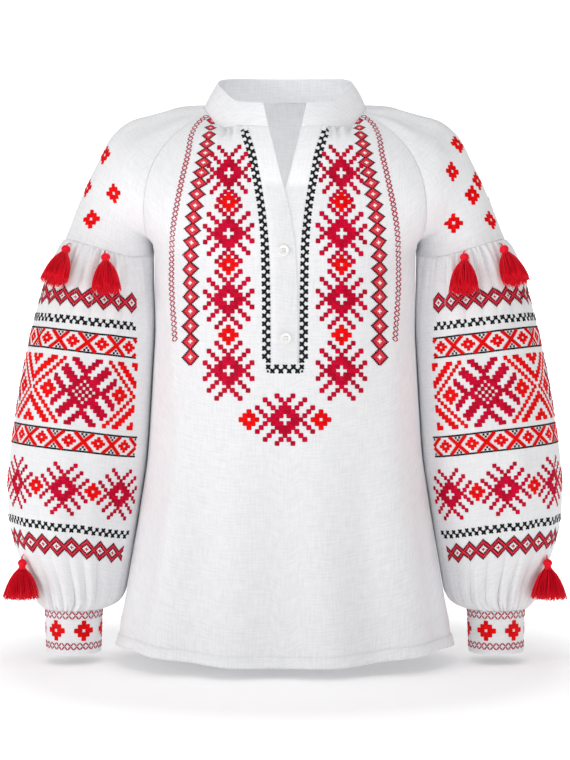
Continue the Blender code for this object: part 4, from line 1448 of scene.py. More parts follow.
# Creases of the front, in mm across from its middle and down from the collar's seam.
FRONT_CREASES = (
    Crease((-150, 150), (-96, 300), -3.0, 16), Crease((150, 150), (100, 290), -2.6, 16),
    Crease((-140, 210), (-118, 420), 2.2, 13), Crease((138, 190), (120, 430), 2.4, 14),
    Crease((-52, 330), (-92, 590), -2.4, 17), Crease((40, 350), (72, 600), -2.8, 15),
    Crease((100, 380), (128, 600), 2.6, 15), Crease((-112, 400), (-138, 600), 2.4, 15),
    Crease((-12, 410), (-30, 600), 1.8, 16), Crease((82, 120), (112, 190), -1.3, 9),
    Crease((-84, 118), (-116, 186), -1.4, 9),
)


class Slit(NamedTuple):
    """A tight gather below the collar: x at its seam and at its end, length and depth."""

    top_x: float
    end_x: float
    length: float
    depth: float


NECK_SLITS = (
    Slit(-74.0, -73.0, 24.0, 2.0), Slit(-66.2, -69.4, 26.0, -7.0), Slit(-60.8, -59.6, 22.0, -6.5),
    Slit(-54.0, -54.5, 18.0, 2.4), Slit(-48.0, -49.5, 15.0, -2.0), Slit(72.0, 69.0, 24.0, -4.5),
    Slit(65.5, 64.0, 26.0, 2.6), Slit(58.6, 59.8, 24.0, -7.0), Slit(50.6, 51.4, 22.0, -6.5),
    Slit(45.5, 46.0, 12.0, 1.5),
)
NECK_SLIT_WIDTH = 1.8


@dataclass
class Front:
    """The front panel, cut open for the placket, and its embroidery."""

    columns: int = 44
    placket_columns: int = 12
    spacing: float = 5.6
    star_cell: float = 4.25
    star_heights: tuple[float, ...] = (-88.0, -155.0, -226.0, -303.0)
    diamond_heights: tuple[float, ...] = (-120.5, -188.7, -264.5)
    column_x: float = 61.0
    bottom_star: tuple[float, float] = (0.0, -355.6)
    bottom_diamond_x: float = 38.7
    thick: float = 1.0
    border_path: tuple[tuple[float, float], ...] = (
        (45.6, -37.0), (37.6, -62.2), (30.3, -96.5), (24.8, -129.9), (22.0, -162.6),
        (20.6, -205.6), (20.2, -259.3), (20.0, -292.0),
    )
    border_pitch: float = 8.3
    border_cross: float = 5.1
    border_offset: float = 1.95
    border_thick: float = 0.7
    chain_path: tuple[tuple[float, float], ...] = (
        (81.8, -22.0), (83.2, -37.3), (85.9, -54.2), (88.6, -72.4), (91.4, -88.6),
        (94.4, -101.9), (96.6, -117.5), (98.8, -131.7), (100.3, -144.7), (101.3, -157.6),
        (103.2, -176.7), (103.3, -225.8), (103.2, -288.0),
    )
    chain_pitch: tuple[float, float] = (10.0, 17.2)
    chain_cell: float = 1.5
    links_path: tuple[tuple[float, float], ...] = (
        (87.3, -14.3), (97.6, -25.4), (103.4, -40.3), (106.7, -65.3), (110.6, -84.6),
        (114.6, -104.7), (119.4, -129.5), (123.1, -151.5), (125.1, -172.9), (125.6, -201.1),
        (121.0, -270.7),
    )
    links_pitch: tuple[float, float] = (4.9, 5.7)
    links_width: float = 6.8

    def grid(self) -> Grid:
        """The front's surface, with its folds, creases and neck gathers."""
        side = shares(self.columns, (0.006, 0.016))
        middle = np.linspace(-1.0, 1.0, self.placket_columns + 1)[1:-1]
        start = float(COLLAR_BASE.front_angle(PLACKET[0].seam))
        angles = start + (FRONT_RAGLAN_ANGLE - start) * side
        right = COLLAR_BASE.points(angles)
        left = right[::-1] * np.array([-1.0, 1.0, 1.0])
        between = COLLAR_BASE.points(COLLAR_BASE.front_angle(np.abs(middle) * PLACKET[0].seam))
        between[:, 0] *= np.sign(middle) + (middle == 0)
        places = np.concatenate([-side[::-1], middle * 0.0, side])
        first = np.concatenate([left, between, right])
        rows = [np.concatenate([first, places[:, None]], axis=1)]
        for row in body_rows(front=True):
            seam = float(table_value(row.middle_z, "seam"))
            start = float(row.turn_at(seam))
            turns = start + (row.wrap - start) * side
            turns = np.concatenate([-turns[::-1], row.turn_at(middle * seam), turns])
            points = row.at_turn(turns)
            rows.append(np.concatenate([points, turns[:, None] / (math.pi / 2)], axis=1))
        rows = np.array(rows)
        self.at = row_steps(rows, self.spacing, CLOSE_ROWS)
        grid, place = body_grid(rows, self.at, FRONT_FOLDS, -1.0, BODY[-1].front_z)
        columns = grid.points.shape[1]
        grid.kept = np.ones((len(self.at) - 1, columns - 1), bool)
        above = self.at[:-1] < CUT_ROW - 1e-6
        grid.kept[np.ix_(above, np.arange(len(side) - 1, columns - len(side)))] = False
        down = grid.flat[..., 1]
        calm = smooth((self.at[-1] - self.at) / 2.0)[:, None] * 0.5 + 0.5
        depth = grid.creased(FRONT_CREASES) * calm
        x, z = grid.points[..., 0], grid.points[..., 2]
        for slit in NECK_SLITS:
            share = np.clip(down / slit.length, 0.0, 1.5)
            centre = slit.top_x + (slit.end_x - slit.top_x) * share
            width = NECK_SLIT_WIDTH * (1 + 0.6 * share)
            fade = smooth((1.25 - share) / 1.0) * smooth(down / 1.2 + 0.45)
            depth += slit.depth * fade * np.exp(-(((x - centre) / width) ** 2))
        depth = seamed(grid, depth, place, self.at)
        beside_cut = np.abs(np.abs(x) - table_value(z, "seam"))
        depth += seam_dip(beside_cut, 0.5, 1.6) * (self.at[:, None] < CUT_ROW + 1e-6)
        grid.push(depth)
        grid.points[..., 1] -= raglan_fill(self.at, grid.from_sides())
        lift = HEM_LIFT[0] * np.exp(-(((np.abs(place) - HEM_LIFT[1]) / HEM_LIFT[2]) ** 2))
        low = smooth((HEM_LIFT_FROM[0] - grid.points[..., 2]) / HEM_LIFT_FROM[1])
        grid.points[..., 2] += lift * low * smooth((1.0 - np.abs(place)) / 0.12)
        return grid

    def embroider(self, work: Needlework) -> None:
        """Works the stars, chains and borders of the front."""
        star = quarter_chart(FRONT_STAR)
        diamond = quarter_chart(SMALL_DIAMOND)
        for side in (-1.0, 1.0):
            for z in self.star_heights:
                narrow = 0.87 if z > -100.0 else 1.0
                self.motif(work, star, self.column_x * side, z, narrow)
            for z in self.diamond_heights:
                self.motif(work, diamond, self.column_x * side, z)
            self.motif(work, diamond, self.bottom_diamond_x * side, self.bottom_star[1])
            self.border(work, side)
            self.chain(work, side)
            self.links(work, side)
        self.motif(work, quarter_chart(FRONT_STAR, turned=True), *self.bottom_star)
        self.bottom_border(work)

    def motif(self, work: Needlework, chart: Sequence[Cell], x: float, z: float,
              narrow: float = 1.0) -> None:
        """Works one chart at a place of the front, dropping every stitch onto the cloth.

        Args:
            work: The front's needlework.
            chart: The cells.
            x: The chart's middle.
            z: Its height.
            narrow: The share of its width that it gets.
        """
        cell = self.star_cell * narrow
        for column, row, thread in chart:
            place, out = work.cloth.drop(x + column * cell, z + row * self.star_cell)
            size = (cell * STITCH_FILL * turned_scale(out.x),
                    self.star_cell * STITCH_FILL * turned_scale(out.z), self.thick)
            work.put(Unit.FULL_CROSS, thread, Spot(place, Vector((1.0, 0.0, 0.0)), out, size))

    def border(self, work: Needlework, side: float) -> None:
        """Two staggered columns of black crosses beside the placket."""
        path = [(x * side, z) for x, z in self.border_path]
        half = self.border_pitch / 2.0
        steps = path_points(path, work.cloth, (half * 0.97, half * 1.05))
        for number, (place, way, out) in enumerate(steps):
            across = out.cross(way)
            shift = self.border_offset * (1 if number % 2 else -1) * side * turned_scale(out.x)
            found, found_out = work.cloth.near(place - across * shift)
            size = (self.border_cross, self.border_cross, self.border_thick)
            work.put(Unit.OPEN_CROSS, Thread.BLACK, Spot(found, across, found_out, size))

    def bottom_border(self, work: Needlework) -> None:
        """Two staggered rows of black crosses below the placket, with a dot at each end."""
        for x, z, size in ([(x, -299.0, self.border_cross) for x in (-18.0, -9.0, 0.0, 9.0, 18.0)]
                           + [(x, -303.4, self.border_cross) for x in (-13.5, -4.5, 4.5, 13.5)]
                           + [(x, -303.8, 2.4) for x in (-18.4, 18.4)]):
            place, out = work.cloth.drop(x, z)
            work.put(Unit.OPEN_CROSS, Thread.BLACK,
                     Spot(place, Vector((1.0, 0.0, 0.0)), out, (size, size, self.border_thick)))

    def chain(self, work: Needlework, side: float) -> None:
        """A chain of red diamonds outlined in black, smaller where the neck is gathered."""
        path = [(x * side, z) for x, z in self.chain_path]
        link = quarter_chart(CHAIN_LINK)
        steps = path_points(path, work.cloth, self.chain_pitch)
        for number, (place, way, out) in enumerate(steps):
            share = number / (len(steps) - 1)
            pitch = self.chain_pitch[0] + (self.chain_pitch[1] - self.chain_pitch[0]) * share
            grown = 0.68 + 0.32 * float(smooth(share / 0.22))
            cell = (self.chain_cell * grown * turned_scale(out.x),
                    pitch * turned_scale(out.z) / 10.6)
            work.lay(link, place, out.cross(way), out, cell, Unit.FINE_CROSS, 0.45)

    def links(self, work: Needlework, side: float) -> None:
        """A thin chain of open diamonds in straight stitches."""
        path = [(x * side, z) for x, z in self.links_path]
        steps = path_points(path, work.cloth, self.links_pitch)
        for (upper, way, out), (lower, _, _) in zip(steps, steps[1:]):
            middle = (upper + lower) / 2.0
            across = out.cross(way).normalized() * self.links_width / 2.0 * turned_scale(out.x)
            work.open_diamond(upper, (middle - across, middle + across), lower)


# Creases of the back, in mm across from its middle and down from the collar's seam.
BACK_CREASES = (
    Crease((-30, 60), (-46, 240), -1.8, 16), Crease((34, 70), (56, 260), 1.8, 16),
    Crease((110, 170), (84, 330), -2.8, 16), Crease((-112, 160), (-90, 320), -2.6, 15),
    Crease((-20, 330), (-34, 600), 2.2, 17), Crease((70, 360), (92, 600), -2.4, 15),
    Crease((-88, 380), (-108, 600), 2.2, 15),
)


@dataclass
class Back:
    """The back panel, gathered a little at the neck."""

    columns: int = 84
    spacing: float = 6.4
    neck_gathers: int = 13
    neck_depth: float = 1.1

    def grid(self) -> Grid:
        """The back's surface, with its folds and creases."""
        share = shares(self.columns, (0.003, 0.008))
        first = COLLAR_BASE.points(BACK_RAGLAN_ANGLE * (1.0 - 2.0 * share))
        rows = [np.concatenate([first, (1.0 - 2.0 * share)[:, None]], axis=1)]
        for row in body_rows(front=False):
            turns = row.wrap * (1.0 - 2.0 * share)
            points = row.at_turn(turns)
            rows.append(np.concatenate([points, turns[:, None] / (math.pi / 2)], axis=1))
        rows = np.array(rows)
        self.at = row_steps(rows, self.spacing, CLOSE_ROWS)
        grid, place = body_grid(rows, self.at, BACK_FOLDS, 1.0, BODY[-1].back_z)
        down = grid.flat[..., 1]
        shifted = share[None] + 0.012 * np.sin(17.0 * share[None])
        wave = np.cos(math.tau * self.neck_gathers * shifted)
        depth = self.neck_depth * wave * np.exp(-down / 34.0) * smooth(down / 3.0)
        depth += grid.creased(BACK_CREASES)
        grid.push(seamed(grid, depth, place, self.at))
        return grid


@dataclass
class PlacketBand:
    """One band of the placket: the over band on the wearer's right or the under band."""

    over: bool
    columns: int = 16
    spacing: float = 5.0

    def grid(self) -> Grid:
        """The band's surface, from the collar's seam to the cut's end."""
        share = shares(self.columns, (0.03,))
        rows = []
        specs = [None] + body_rows(front=True)
        for row in specs[:CUT_ROW + 2]:
            z = PLACKET[0].z if row is None else row.middle_z
            seam = float(table_value(z, "seam"))
            if self.over:
                x = -seam + (float(table_value(z, "over_edge")) + seam) * share
            else:
                edge = float(table_value(z, "under_edge"))
                x = edge + (seam - edge) * share
            if row is None:
                points = COLLAR_BASE.points(COLLAR_BASE.front_angle(np.abs(x)))
                points[:, 0] = x
            else:
                points = row.at_turn(row.turn_at(x))
            rows.append(points)
        rows = np.array(rows)
        at = row_steps(rows[:CUT_ROW + 1], self.spacing, (0.04, 0.1, 0.2))
        grid = Grid(through(rows, at), centre=0)
        if self.over:
            x, z = grid.points[..., 0], grid.points[..., 2]
            reach = (x + table_value(z, "seam")) / PLACKET_SHOULDER
            rise = PLACKET_RISE * smooth((PLACKET_RISE_TOP - z) / PLACKET_RISE_REACH)
            grid.points[..., 1] -= rise * smooth(reach)
            lap = []
            for drop in (0.35, 0.7, 1.0):
                last = grid.points[-1].copy()
                last[:, 2] -= PLACKET_LAP * drop
                last[:, 1] -= 1.0 * drop * (1.0 - smooth(reach[-1]))
                lap.append(last)
            grid = Grid(np.concatenate([grid.points, np.array(lap)]), centre=0)
        near, far = grid.flat[..., 0], grid.flat[:, -1:, 0] - grid.flat[..., 0]
        edge, free = (near, far) if self.over else (far, near)
        depth = seam_dip(edge, 0.5, 1.5) + seam_dip(grid.flat[..., 1], 0.7)
        depth -= 0.35 * np.exp(-(((free - 2.8) / 0.9) ** 2))
        grid.push(depth)
        return grid


@dataclass
class Collar:
    """The stand collar: two layers, open at the throat."""

    columns: int = 150
    rows: int = 14

    def grid(self) -> Grid:
        """The collar's outer surface, from its upper edge to its seam."""
        turn = 1.0 - 2.0 * shares(self.columns, (0.002, 0.005))
        top, base = (oval.points(float(oval.front_angle(oval.gap)) * turn)
                     for oval in (COLLAR_TOP, COLLAR_BASE))
        at = shares(self.rows, (0.02, 0.05))[:, None, None]
        grid = Grid(top * (1.0 - at) + base * at, centre=len(turn) // 2)
        down = grid.flat[..., 1]
        tall = down[-1:]
        depth = 0.9 * np.sin(math.pi * down / tall)
        depth += 0.5 * np.sin(grid.flat[..., 0] / 23.0) * np.sin(math.pi * down / tall)
        depth += seam_dip(tall - down, 0.25, 1.5) - 0.3 * np.exp(-(((down - 2.6) / 1.0) ** 2))
        grid.push(depth)
        return grid


# Creases of a sleeve head, in mm across from the crown line (the front is below 0) and down.
HEAD_CREASES = (
    Crease((-34, 4), (-74, 120), -2.6, 9, True), Crease((-22, 4), (-44, 120), 2.0, 9, True),
    Crease((-12, 6), (-18, 96), -2.2, 8, True), Crease((2, 6), (6, 120), 1.8, 9, True),
    Crease((14, 6), (26, 104), -2.0, 8, True), Crease((-44, 10), (-98, 118), 1.8, 9, True),
    Crease((30, 8), (56, 120), 1.6, 9, True), Crease((-60, 60), (-110, 132), -2.4, 10),
)
HEAD_SEAM_GATHERS = 26
# Places near which the small diamonds lie on the left and right heads, as on the +X side.
HEAD_DIAMONDS = {
    1.0: ((194, -37, -48), (184, -57, -81), (217, -29, -88), (211, -42, -105), (189, -48, -137),
          (233, -32, -132), (236, 4, -104), (212, 44, -84), (226, 38, -126), (190, 62, -112),
          (196, 40, -52)),
    -1.0: ((201, -33, -60), (224, -23, -95), (190, -53, -104), (218, -43, -132), (238, 6, -120),
           (214, 42, -82), (222, 40, -128), (188, 62, -108), (196, 40, -50)),
}


@dataclass
class SleeveHead:
    """The raglan head of a sleeve, down to the gathered seam, and its scattered diamonds."""

    side: float
    body: Neighbour
    columns: int = 84
    spacing: float = 5.4
    diamond_cell: float = 4.2

    def grid(self) -> Grid:
        """The head's surface on the +X side."""
        share = shares(self.columns, (0.004, 0.01))
        angles = FRONT_RAGLAN_ANGLE + (BACK_RAGLAN_ANGLE - FRONT_RAGLAN_ANGLE) * share
        rows = [COLLAR_BASE.points(angles)]
        for spec in YOKE:
            front, back, crown = (np.array(place, float) for place in (
                spec.front_seam, spec.back_seam, spec.crown))
            middle, half = (front + back) / 2.0, (front - back) / 2.0
            wrap = 2.0 * math.atan2(np.linalg.norm(crown - middle), np.linalg.norm(half))
            turn = wrap * (2.0 * share - 1.0)
            rise = (np.cos(turn) - math.cos(wrap)) / (1.0 - math.cos(wrap))
            rows.append(middle + (crown - middle) * rise[:, None]
                        - half * (np.sin(turn) / math.sin(wrap))[:, None])
        first_ring = HEAD_RINGS[0].points(share)
        loop = (rows[-1] + first_ring) / 2.0
        armpit = np.array((BODY[0].side_x, BODY[0].side_y, BODY[0].side_z), float)
        near_end = np.exp(-((np.minimum(share, 1.0 - share) / 0.06) ** 2))[:, None]
        ends = np.where((share < 0.5)[:, None], loop[0], loop[-1])
        rows.append(loop + (armpit - ends) * near_end)
        rows += [first_ring] + [ring.points(share) for ring in HEAD_RINGS[1:]]
        rows = np.array(rows)
        last = len(rows) - 1
        close = (0.05, 0.12, 0.25, last - 0.3, last - 0.12, last - 0.05)
        at = row_steps(rows, self.spacing, close)
        points = through(rows, at)
        above = at <= ARMPIT_ROW + 1e-9
        reach = np.exp(-((share / 0.05) ** 2))[None, :, None]
        for front, end, pull in ((True, 0, reach), (False, -1, reach[:, ::-1])):
            target = seam_curve(front, at[above])
            points[above] += (target - points[above][:, end])[:, None] * pull
        below = ~above
        middle = (points[below][:, 0] + points[below][:, -1]) / 2.0
        shift = middle - points[below][:, 0]
        points[below] += shift[:, None] * reach - shift[:, None] * reach[:, ::-1]
        grid = Grid(points, centre=len(share) // 2)
        depth_by_row = np.interp(at, np.arange(len(HEAD_FOLD_DEPTH)), HEAD_FOLD_DEPTH)[:, None]
        swing = -np.cos(math.tau * HEAD_FOLDS * share) * np.sin(math.pi * share)
        depth = depth_by_row * swing[None]
        edge = grid.from_sides()
        depth += grid.creased(HEAD_CREASES) * smooth(edge / 14.0)
        depth += seam_dip(grid.flat[..., 1], 0.3)
        depth += np.where(above[:, None], seam_dip(edge, 0.04), 0.0)
        rise = (at[:, None] - (last - 0.75)) / 0.75
        shifted = share[None] + 0.01 * np.sin(23.0 * share[None])
        pull = np.cos(math.tau * HEAD_SEAM_GATHERS * shifted)
        depth += 0.5 * pull * smooth(rise)
        depth += 0.3 * smooth((rise - 0.5) / 0.3) - 0.25 * smooth((rise - 0.93) / 0.07)
        grid.push(depth)
        grid.points[..., 1] -= raglan_fill(at, grid.flat[..., 0] - grid.flat[:, :1, 0])
        lower = (at - ARMPIT_ROW) / (last - ARMPIT_ROW)
        self.body.lean(grid.points, share, smooth(lower / 0.25), np.clip(lower, 0.0, 1.0))
        return grid

    def embroider(self, work: Needlework) -> None:
        """Scatters small scarlet diamonds over the head."""
        for place in HEAD_DIAMONDS[self.side]:
            work.small_diamond(Vector(place), self.diamond_cell)


class Band(NamedTuple):
    """A band round the sleeve: height, start beside the body, place in front, fall, sag."""

    height: float
    start: float
    anchor: float
    slope: float = 0.107
    sag: float = 0.0


BANDS = {
    "zigzag_top": Band(-220.7, 38.0, 217.0),
    "crosses_top": Band(-246.6, 38.0, 217.0),
    "ribbon_top": Band(-270.0, 38.0, 202.6, 0.12),
    "broad": Band(-325.4, 35.0, 222.3),
    "ribbon_low": Band(-380.3, 29.0, 206.5, 0.107, 1.5),
    "stars": Band(-434.5, 20.0, 244.2, 0.107, 2.0),
    "crosses_low": Band(-477.8, 23.0, 240.0, 0.107, 4.5),
    "zigzag_low": Band(-498.9, 27.0, 236.0, 0.107, 6.0),
}
BAND_CENTRE_X = 230.0
BAND_SAG_REACH = 60.0                       # how far in from its middle a band sags fully
BAND_END = 322.0                            # turn at which they end behind


class BandMap(NamedTuple):
    """Where a band runs on the sleeve as it is before its gathers."""

    band: Band
    heights: np.ndarray                     # of each point, against the sloping band
    arc: np.ndarray                         # length along the band's middle, by column
    anchor: float                           # that length at its anchor


# Creases of the gathered sleeve, in mm across from its outer line and down from its seam.
PUFF_CREASES = {
    1.0: (
        Crease((-120, 60), (-96, 250), -2.6, 13), Crease((-60, 80), (-74, 210), 1.6, 14),
        Crease((-96, 236), (-60, 330), 2.0, 12), Crease((-150, 200), (-128, 340), -2.4, 14),
        Crease((-40, 270), (-72, 352), -1.9, 11), Crease((40, 90), (60, 260), -2.2, 14),
        Crease((110, 120), (92, 300), 2.0, 14), Crease((140, 60), (128, 250), -2.4, 13),
    ),
    -1.0: (
        Crease((-116, 50), (-100, 230), -2.6, 13), Crease((-66, 90), (-58, 220), 1.7, 13),
        Crease((-104, 250), (-70, 340), 1.9, 12), Crease((-146, 210), (-130, 350), -2.3, 14),
        Crease((-36, 250), (-64, 350), -1.8, 12), Crease((44, 80), (70, 250), -2.2, 14),
        Crease((104, 130), (96, 310), 2.0, 14), Crease((142, 70), (126, 240), -2.4, 13),
    ),
}


@dataclass
class PuffSleeve:
    """The full sleeve, gathered at both ends, with its bands of embroidery."""

    side: float
    body: Neighbour
    columns: int = 300
    spacing: float = 4.8
    folds: int = 10
    pleats: int = 37
    pleat_depth: float = 2.5
    pleat_reach: tuple[float, float] = (24.0, 12.0)     # mean and swing, mm
    gather_scale: float = 1.5
    gather_reach: tuple[float, float] = (62.0, 26.0)
    broad_cell: float = 3.8
    star_cell: float = 3.68
    fine_cell: float = 1.38
    thick: float = 0.95
    ribbon_pitch: float = 32.7
    ribbon_half: float = 10.9
    ribbon_arm: float = 11.0
    ribbon_width: float = 5.4
    ribbon_step: float = 0.8
    ribbon_cell: tuple[float, float] = (3.05, 2.8)
    cross_pitch: float = 8.3
    cross_size: float = 4.8

    def grid(self) -> Grid:
        """The sleeve's surface on the +X side."""
        share = np.linspace(0.0, 1.0, self.columns + 1)
        rows = np.array([ring.points(share) for ring in PUFF_RINGS])
        last = len(rows) - 1
        close = (0.04, 0.1, 0.25, 0.5, last - 0.5, last - 0.2, last - 0.06)
        at = row_steps(rows, self.spacing, close)
        grid = Grid(through(rows, at), closed=True, centre=self.columns // 2)
        self.calm = grid.points.copy()
        turn = math.tau * share[None]
        gather, plain = (np.interp(at, np.arange(len(rows)), [getattr(ring, name)
                                                              for ring in PUFF_RINGS])[:, None]
                         for name in ("gather", "fold"))
        down = grid.flat[..., 1]
        tall = down[-1:]
        from_end = np.minimum(down, tall - down)
        seed = 0.4 if self.side > 0 else 1.7
        shifted = (share[None] + 0.006 * np.sin(3 * turn + seed)
                   + 0.004 * np.sin(7 * turn + 2 * seed))
        uneven = (0.82 + 0.30 * np.sin(2.3 * GATHERS * shifted + seed)
                  + 0.12 * np.sin(5.1 * turn + seed))
        beside = smooth((np.cos(turn) - 0.35) / 0.5)
        calm = 1.0 - UNDERARM_CALM * beside
        swing = 2.0 * np.abs(np.sin(math.pi * GATHERS * shifted)) ** 0.75 - 1.25 - 0.4 * beside
        mean, more = self.gather_reach
        reach = mean + more * np.sin(1.9 * GATHERS * shifted + seed)
        fading = np.exp(-((from_end / reach) ** 2)) + 0.25
        depth = self.gather_scale * gather * uneven * swing * fading * calm
        pleated = math.pi * self.pleats * (shifted + 0.006 * np.sin(11 * turn))
        pleat = self.pleat_depth * (2.0 * np.abs(np.sin(pleated)) ** 0.8 - 1.2)
        mean, more = self.pleat_reach
        length = mean + more * np.sin(13.0 * turn + seed)
        depth += pleat * np.exp(-from_end / length) * smooth(from_end / 2.0) * (1 - 0.5 * beside)
        depth += plain * np.cos(math.tau * self.folds * shifted + seed) * calm
        depth += grid.creased(PUFF_CREASES[self.side])
        depth += seam_dip(down, 0.3, 2.0) + seam_dip(tall - down, 0.6, 1.6)
        grid.push(depth)
        lift = np.exp(-down.mean(axis=1) / 30.0)
        self.body.lean(grid.points, share, np.ones(len(at)), lift)
        self.made = grid
        return grid

    def band_map(self, name: str) -> BandMap:
        """Where a band runs."""
        band = BANDS[name]
        out = self.calm[..., 0] - BAND_CENTRE_X
        sag = band.sag * smooth(-out / BAND_SAG_REACH)
        heights = self.calm[..., 2] - band.slope * out + sag
        line = []
        for column in range(self.calm.shape[1]):
            row = np.interp(-band.height, -heights[:, column], np.arange(len(heights)))
            low = min(int(row), len(heights) - 2)
            upper, lower = self.calm[low:low + 2, column]
            line.append(upper * (low + 1 - row) + lower * (row - low))
        line = np.array(line)
        arc = arc_lengths(line)
        front = slice(self.columns // 12, self.columns // 2)
        anchor = float(np.interp(band.anchor, line[front, 0], arc[front]))
        return BandMap(band, heights, arc, anchor)

    def sample(self, row: float, column: float) -> tuple[Vector, Vector, Vector]:
        """A place on the finished cloth, with the ways across and out."""
        points = self.made.points
        i = min(max(int(row), 0), points.shape[0] - 2)
        j = min(max(int(column), 0), points.shape[1] - 2)
        u, v = row - i, column - j
        corners = points[i:i + 2, j:j + 2]
        place = (corners[0, 0] * (1 - u) * (1 - v) + corners[0, 1] * (1 - u) * v
                 + corners[1, 0] * u * (1 - v) + corners[1, 1] * u * v)
        rims, sides = corners[:, 1] - corners[:, 0], corners[1] - corners[0]
        across = Vector(rims[0] * (1 - u) + rims[1] * u)
        down = Vector(sides[0] * (1 - v) + sides[1] * v)
        return Vector(place), across.normalized(), down.cross(across).normalized()

    def spot(self, mapped: BandMap, along: float,
             up: float) -> tuple[Vector, Vector, Vector] | None:
        """A place of a band, if it runs there: mm along from its anchor and up from its middle.

        Args:
            mapped: The band.
            along: How far along.
            up: How far up.

        Returns:
            The place, the way across and the way out, or None.
        """
        column = float(np.interp(mapped.anchor + along, mapped.arc, np.arange(len(mapped.arc))))
        if not mapped.band.start <= 360.0 * column / self.columns <= BAND_END:
            return None
        near = mapped.heights[:, int(round(column)) % self.columns]
        row = float(np.interp(-(mapped.band.height + up), -near, np.arange(len(near))))
        return self.sample(row, column)

    def stitch(self, work: Needlework, mapped: BandMap, at: tuple[float, float], unit: Unit,
               thread: Thread, size: tuple[float, float, float]) -> None:
        """Puts one stitch on a band, if it runs there.

        Args:
            work: The sleeve's needlework.
            mapped: The band.
            at: The stitch's place, mm along and up.
            unit: Its kind.
            thread: Its thread.
            size: Its width, height and thickness, mm.
        """
        found = self.spot(mapped, *at)
        if found:
            work.put(unit, thread, Spot(*found, size))

    def repeat(self, work: Needlework, mapped: BandMap, chart: Sequence[Cell], period: float,
               cell: tuple[float, float], unit: Unit, thick: float) -> None:
        """Repeats a chart along a band.

        Args:
            work: The sleeve's needlework.
            mapped: The band.
            chart: One repeat.
            period: Its length, mm.
            cell: A cell's width and height, mm.
            unit: The kind of stitch.
            thick: How far a stitch stands off the cloth, mm.
        """
        size = (cell[0] * STITCH_FILL, cell[1] * STITCH_FILL, thick)
        for number in range(-14, 34):
            for column, row, thread in chart:
                at = (number * period + column * cell[0], row * cell[1])
                self.stitch(work, mapped, at, unit, thread, size)

    def ribbon(self, work: Needlework, mapped: BandMap) -> None:
        """A ribbon of satin crosses and small diamonds between two black lines."""
        half, step = self.ribbon_half, self.ribbon_step
        self.repeat(work, mapped, quarter_chart(SMALL_DIAMOND), self.ribbon_pitch,
                    self.ribbon_cell, Unit.FULL_CROSS, 0.6)
        for number in range(-6, 14):
            crossing = (number + 0.5) * self.ribbon_pitch
            for slope, lift in ((-1.0, 0.0), (1.0, 0.2)):
                for at in np.arange(-half + 0.8, half - 0.7, step):
                    found = self.spot(mapped, crossing + slope * at * self.ribbon_arm / half, at)
                    if found:
                        place, across, out = found
                        lean = (out.cross(across) - across * slope).normalized()
                        spot = Spot(place + out * lift, lean, out,
                                    (self.ribbon_width, step * 1.9, 0.45))
                        work.put(Unit.BAR, Thread.SCARLET, spot)
            for way in (-1.0, 1.0):
                for aside, up in ((-2.2, half - 2.5), (2.2, half - 2.5), (0.0, half - 5.0)):
                    self.stitch(work, mapped, (crossing + aside, up * way), Unit.OPEN_CROSS,
                                Thread.BLACK, (2.4, 2.4, 0.5))
        for edge in (-half, half):
            for at in np.arange(-120.0, 420.0, 2.0):
                self.stitch(work, mapped, (at, edge), Unit.BAR, Thread.BLACK, (2.9, 2.1, 0.5))

    def crosses(self, work: Needlework, mapped: BandMap) -> None:
        """Two staggered rows of black crosses."""
        for number in range(-30, 100):
            at = (number * self.cross_pitch / 2.0, -2.2 if number % 2 else 2.2)
            self.stitch(work, mapped, at, Unit.OPEN_CROSS, Thread.BLACK,
                        (self.cross_size, self.cross_size, 0.6))

    def embroider(self, work: Needlework) -> None:
        """Works all the bands of the sleeve."""
        zigzag = zigzag_chart()
        fine = (self.fine_cell, self.fine_cell)
        for name in ("zigzag_top", "zigzag_low"):
            self.repeat(work, self.band_map(name), zigzag, 12 * self.fine_cell, fine,
                        Unit.FINE_CROSS, 0.5)
        for name in ("crosses_top", "crosses_low"):
            self.crosses(work, self.band_map(name))
        for name in ("ribbon_top", "ribbon_low"):
            self.ribbon(work, self.band_map(name))
        cell = (self.broad_cell, self.broad_cell * 1.035)
        self.repeat(work, self.band_map("broad"), broad_chart(), BROAD_PERIOD * self.broad_cell,
                    cell, Unit.FULL_CROSS, self.thick)
        cell = (self.star_cell, self.star_cell * 1.04)
        diamond = [(x + 9, y, thread) for x, y, thread in quarter_chart(SMALL_DIAMOND)]
        for chart in (quarter_chart(SLEEVE_STAR), diamond):
            self.repeat(work, self.band_map("stars"), chart, 18 * self.star_cell, cell,
                        Unit.FULL_CROSS, self.thick)


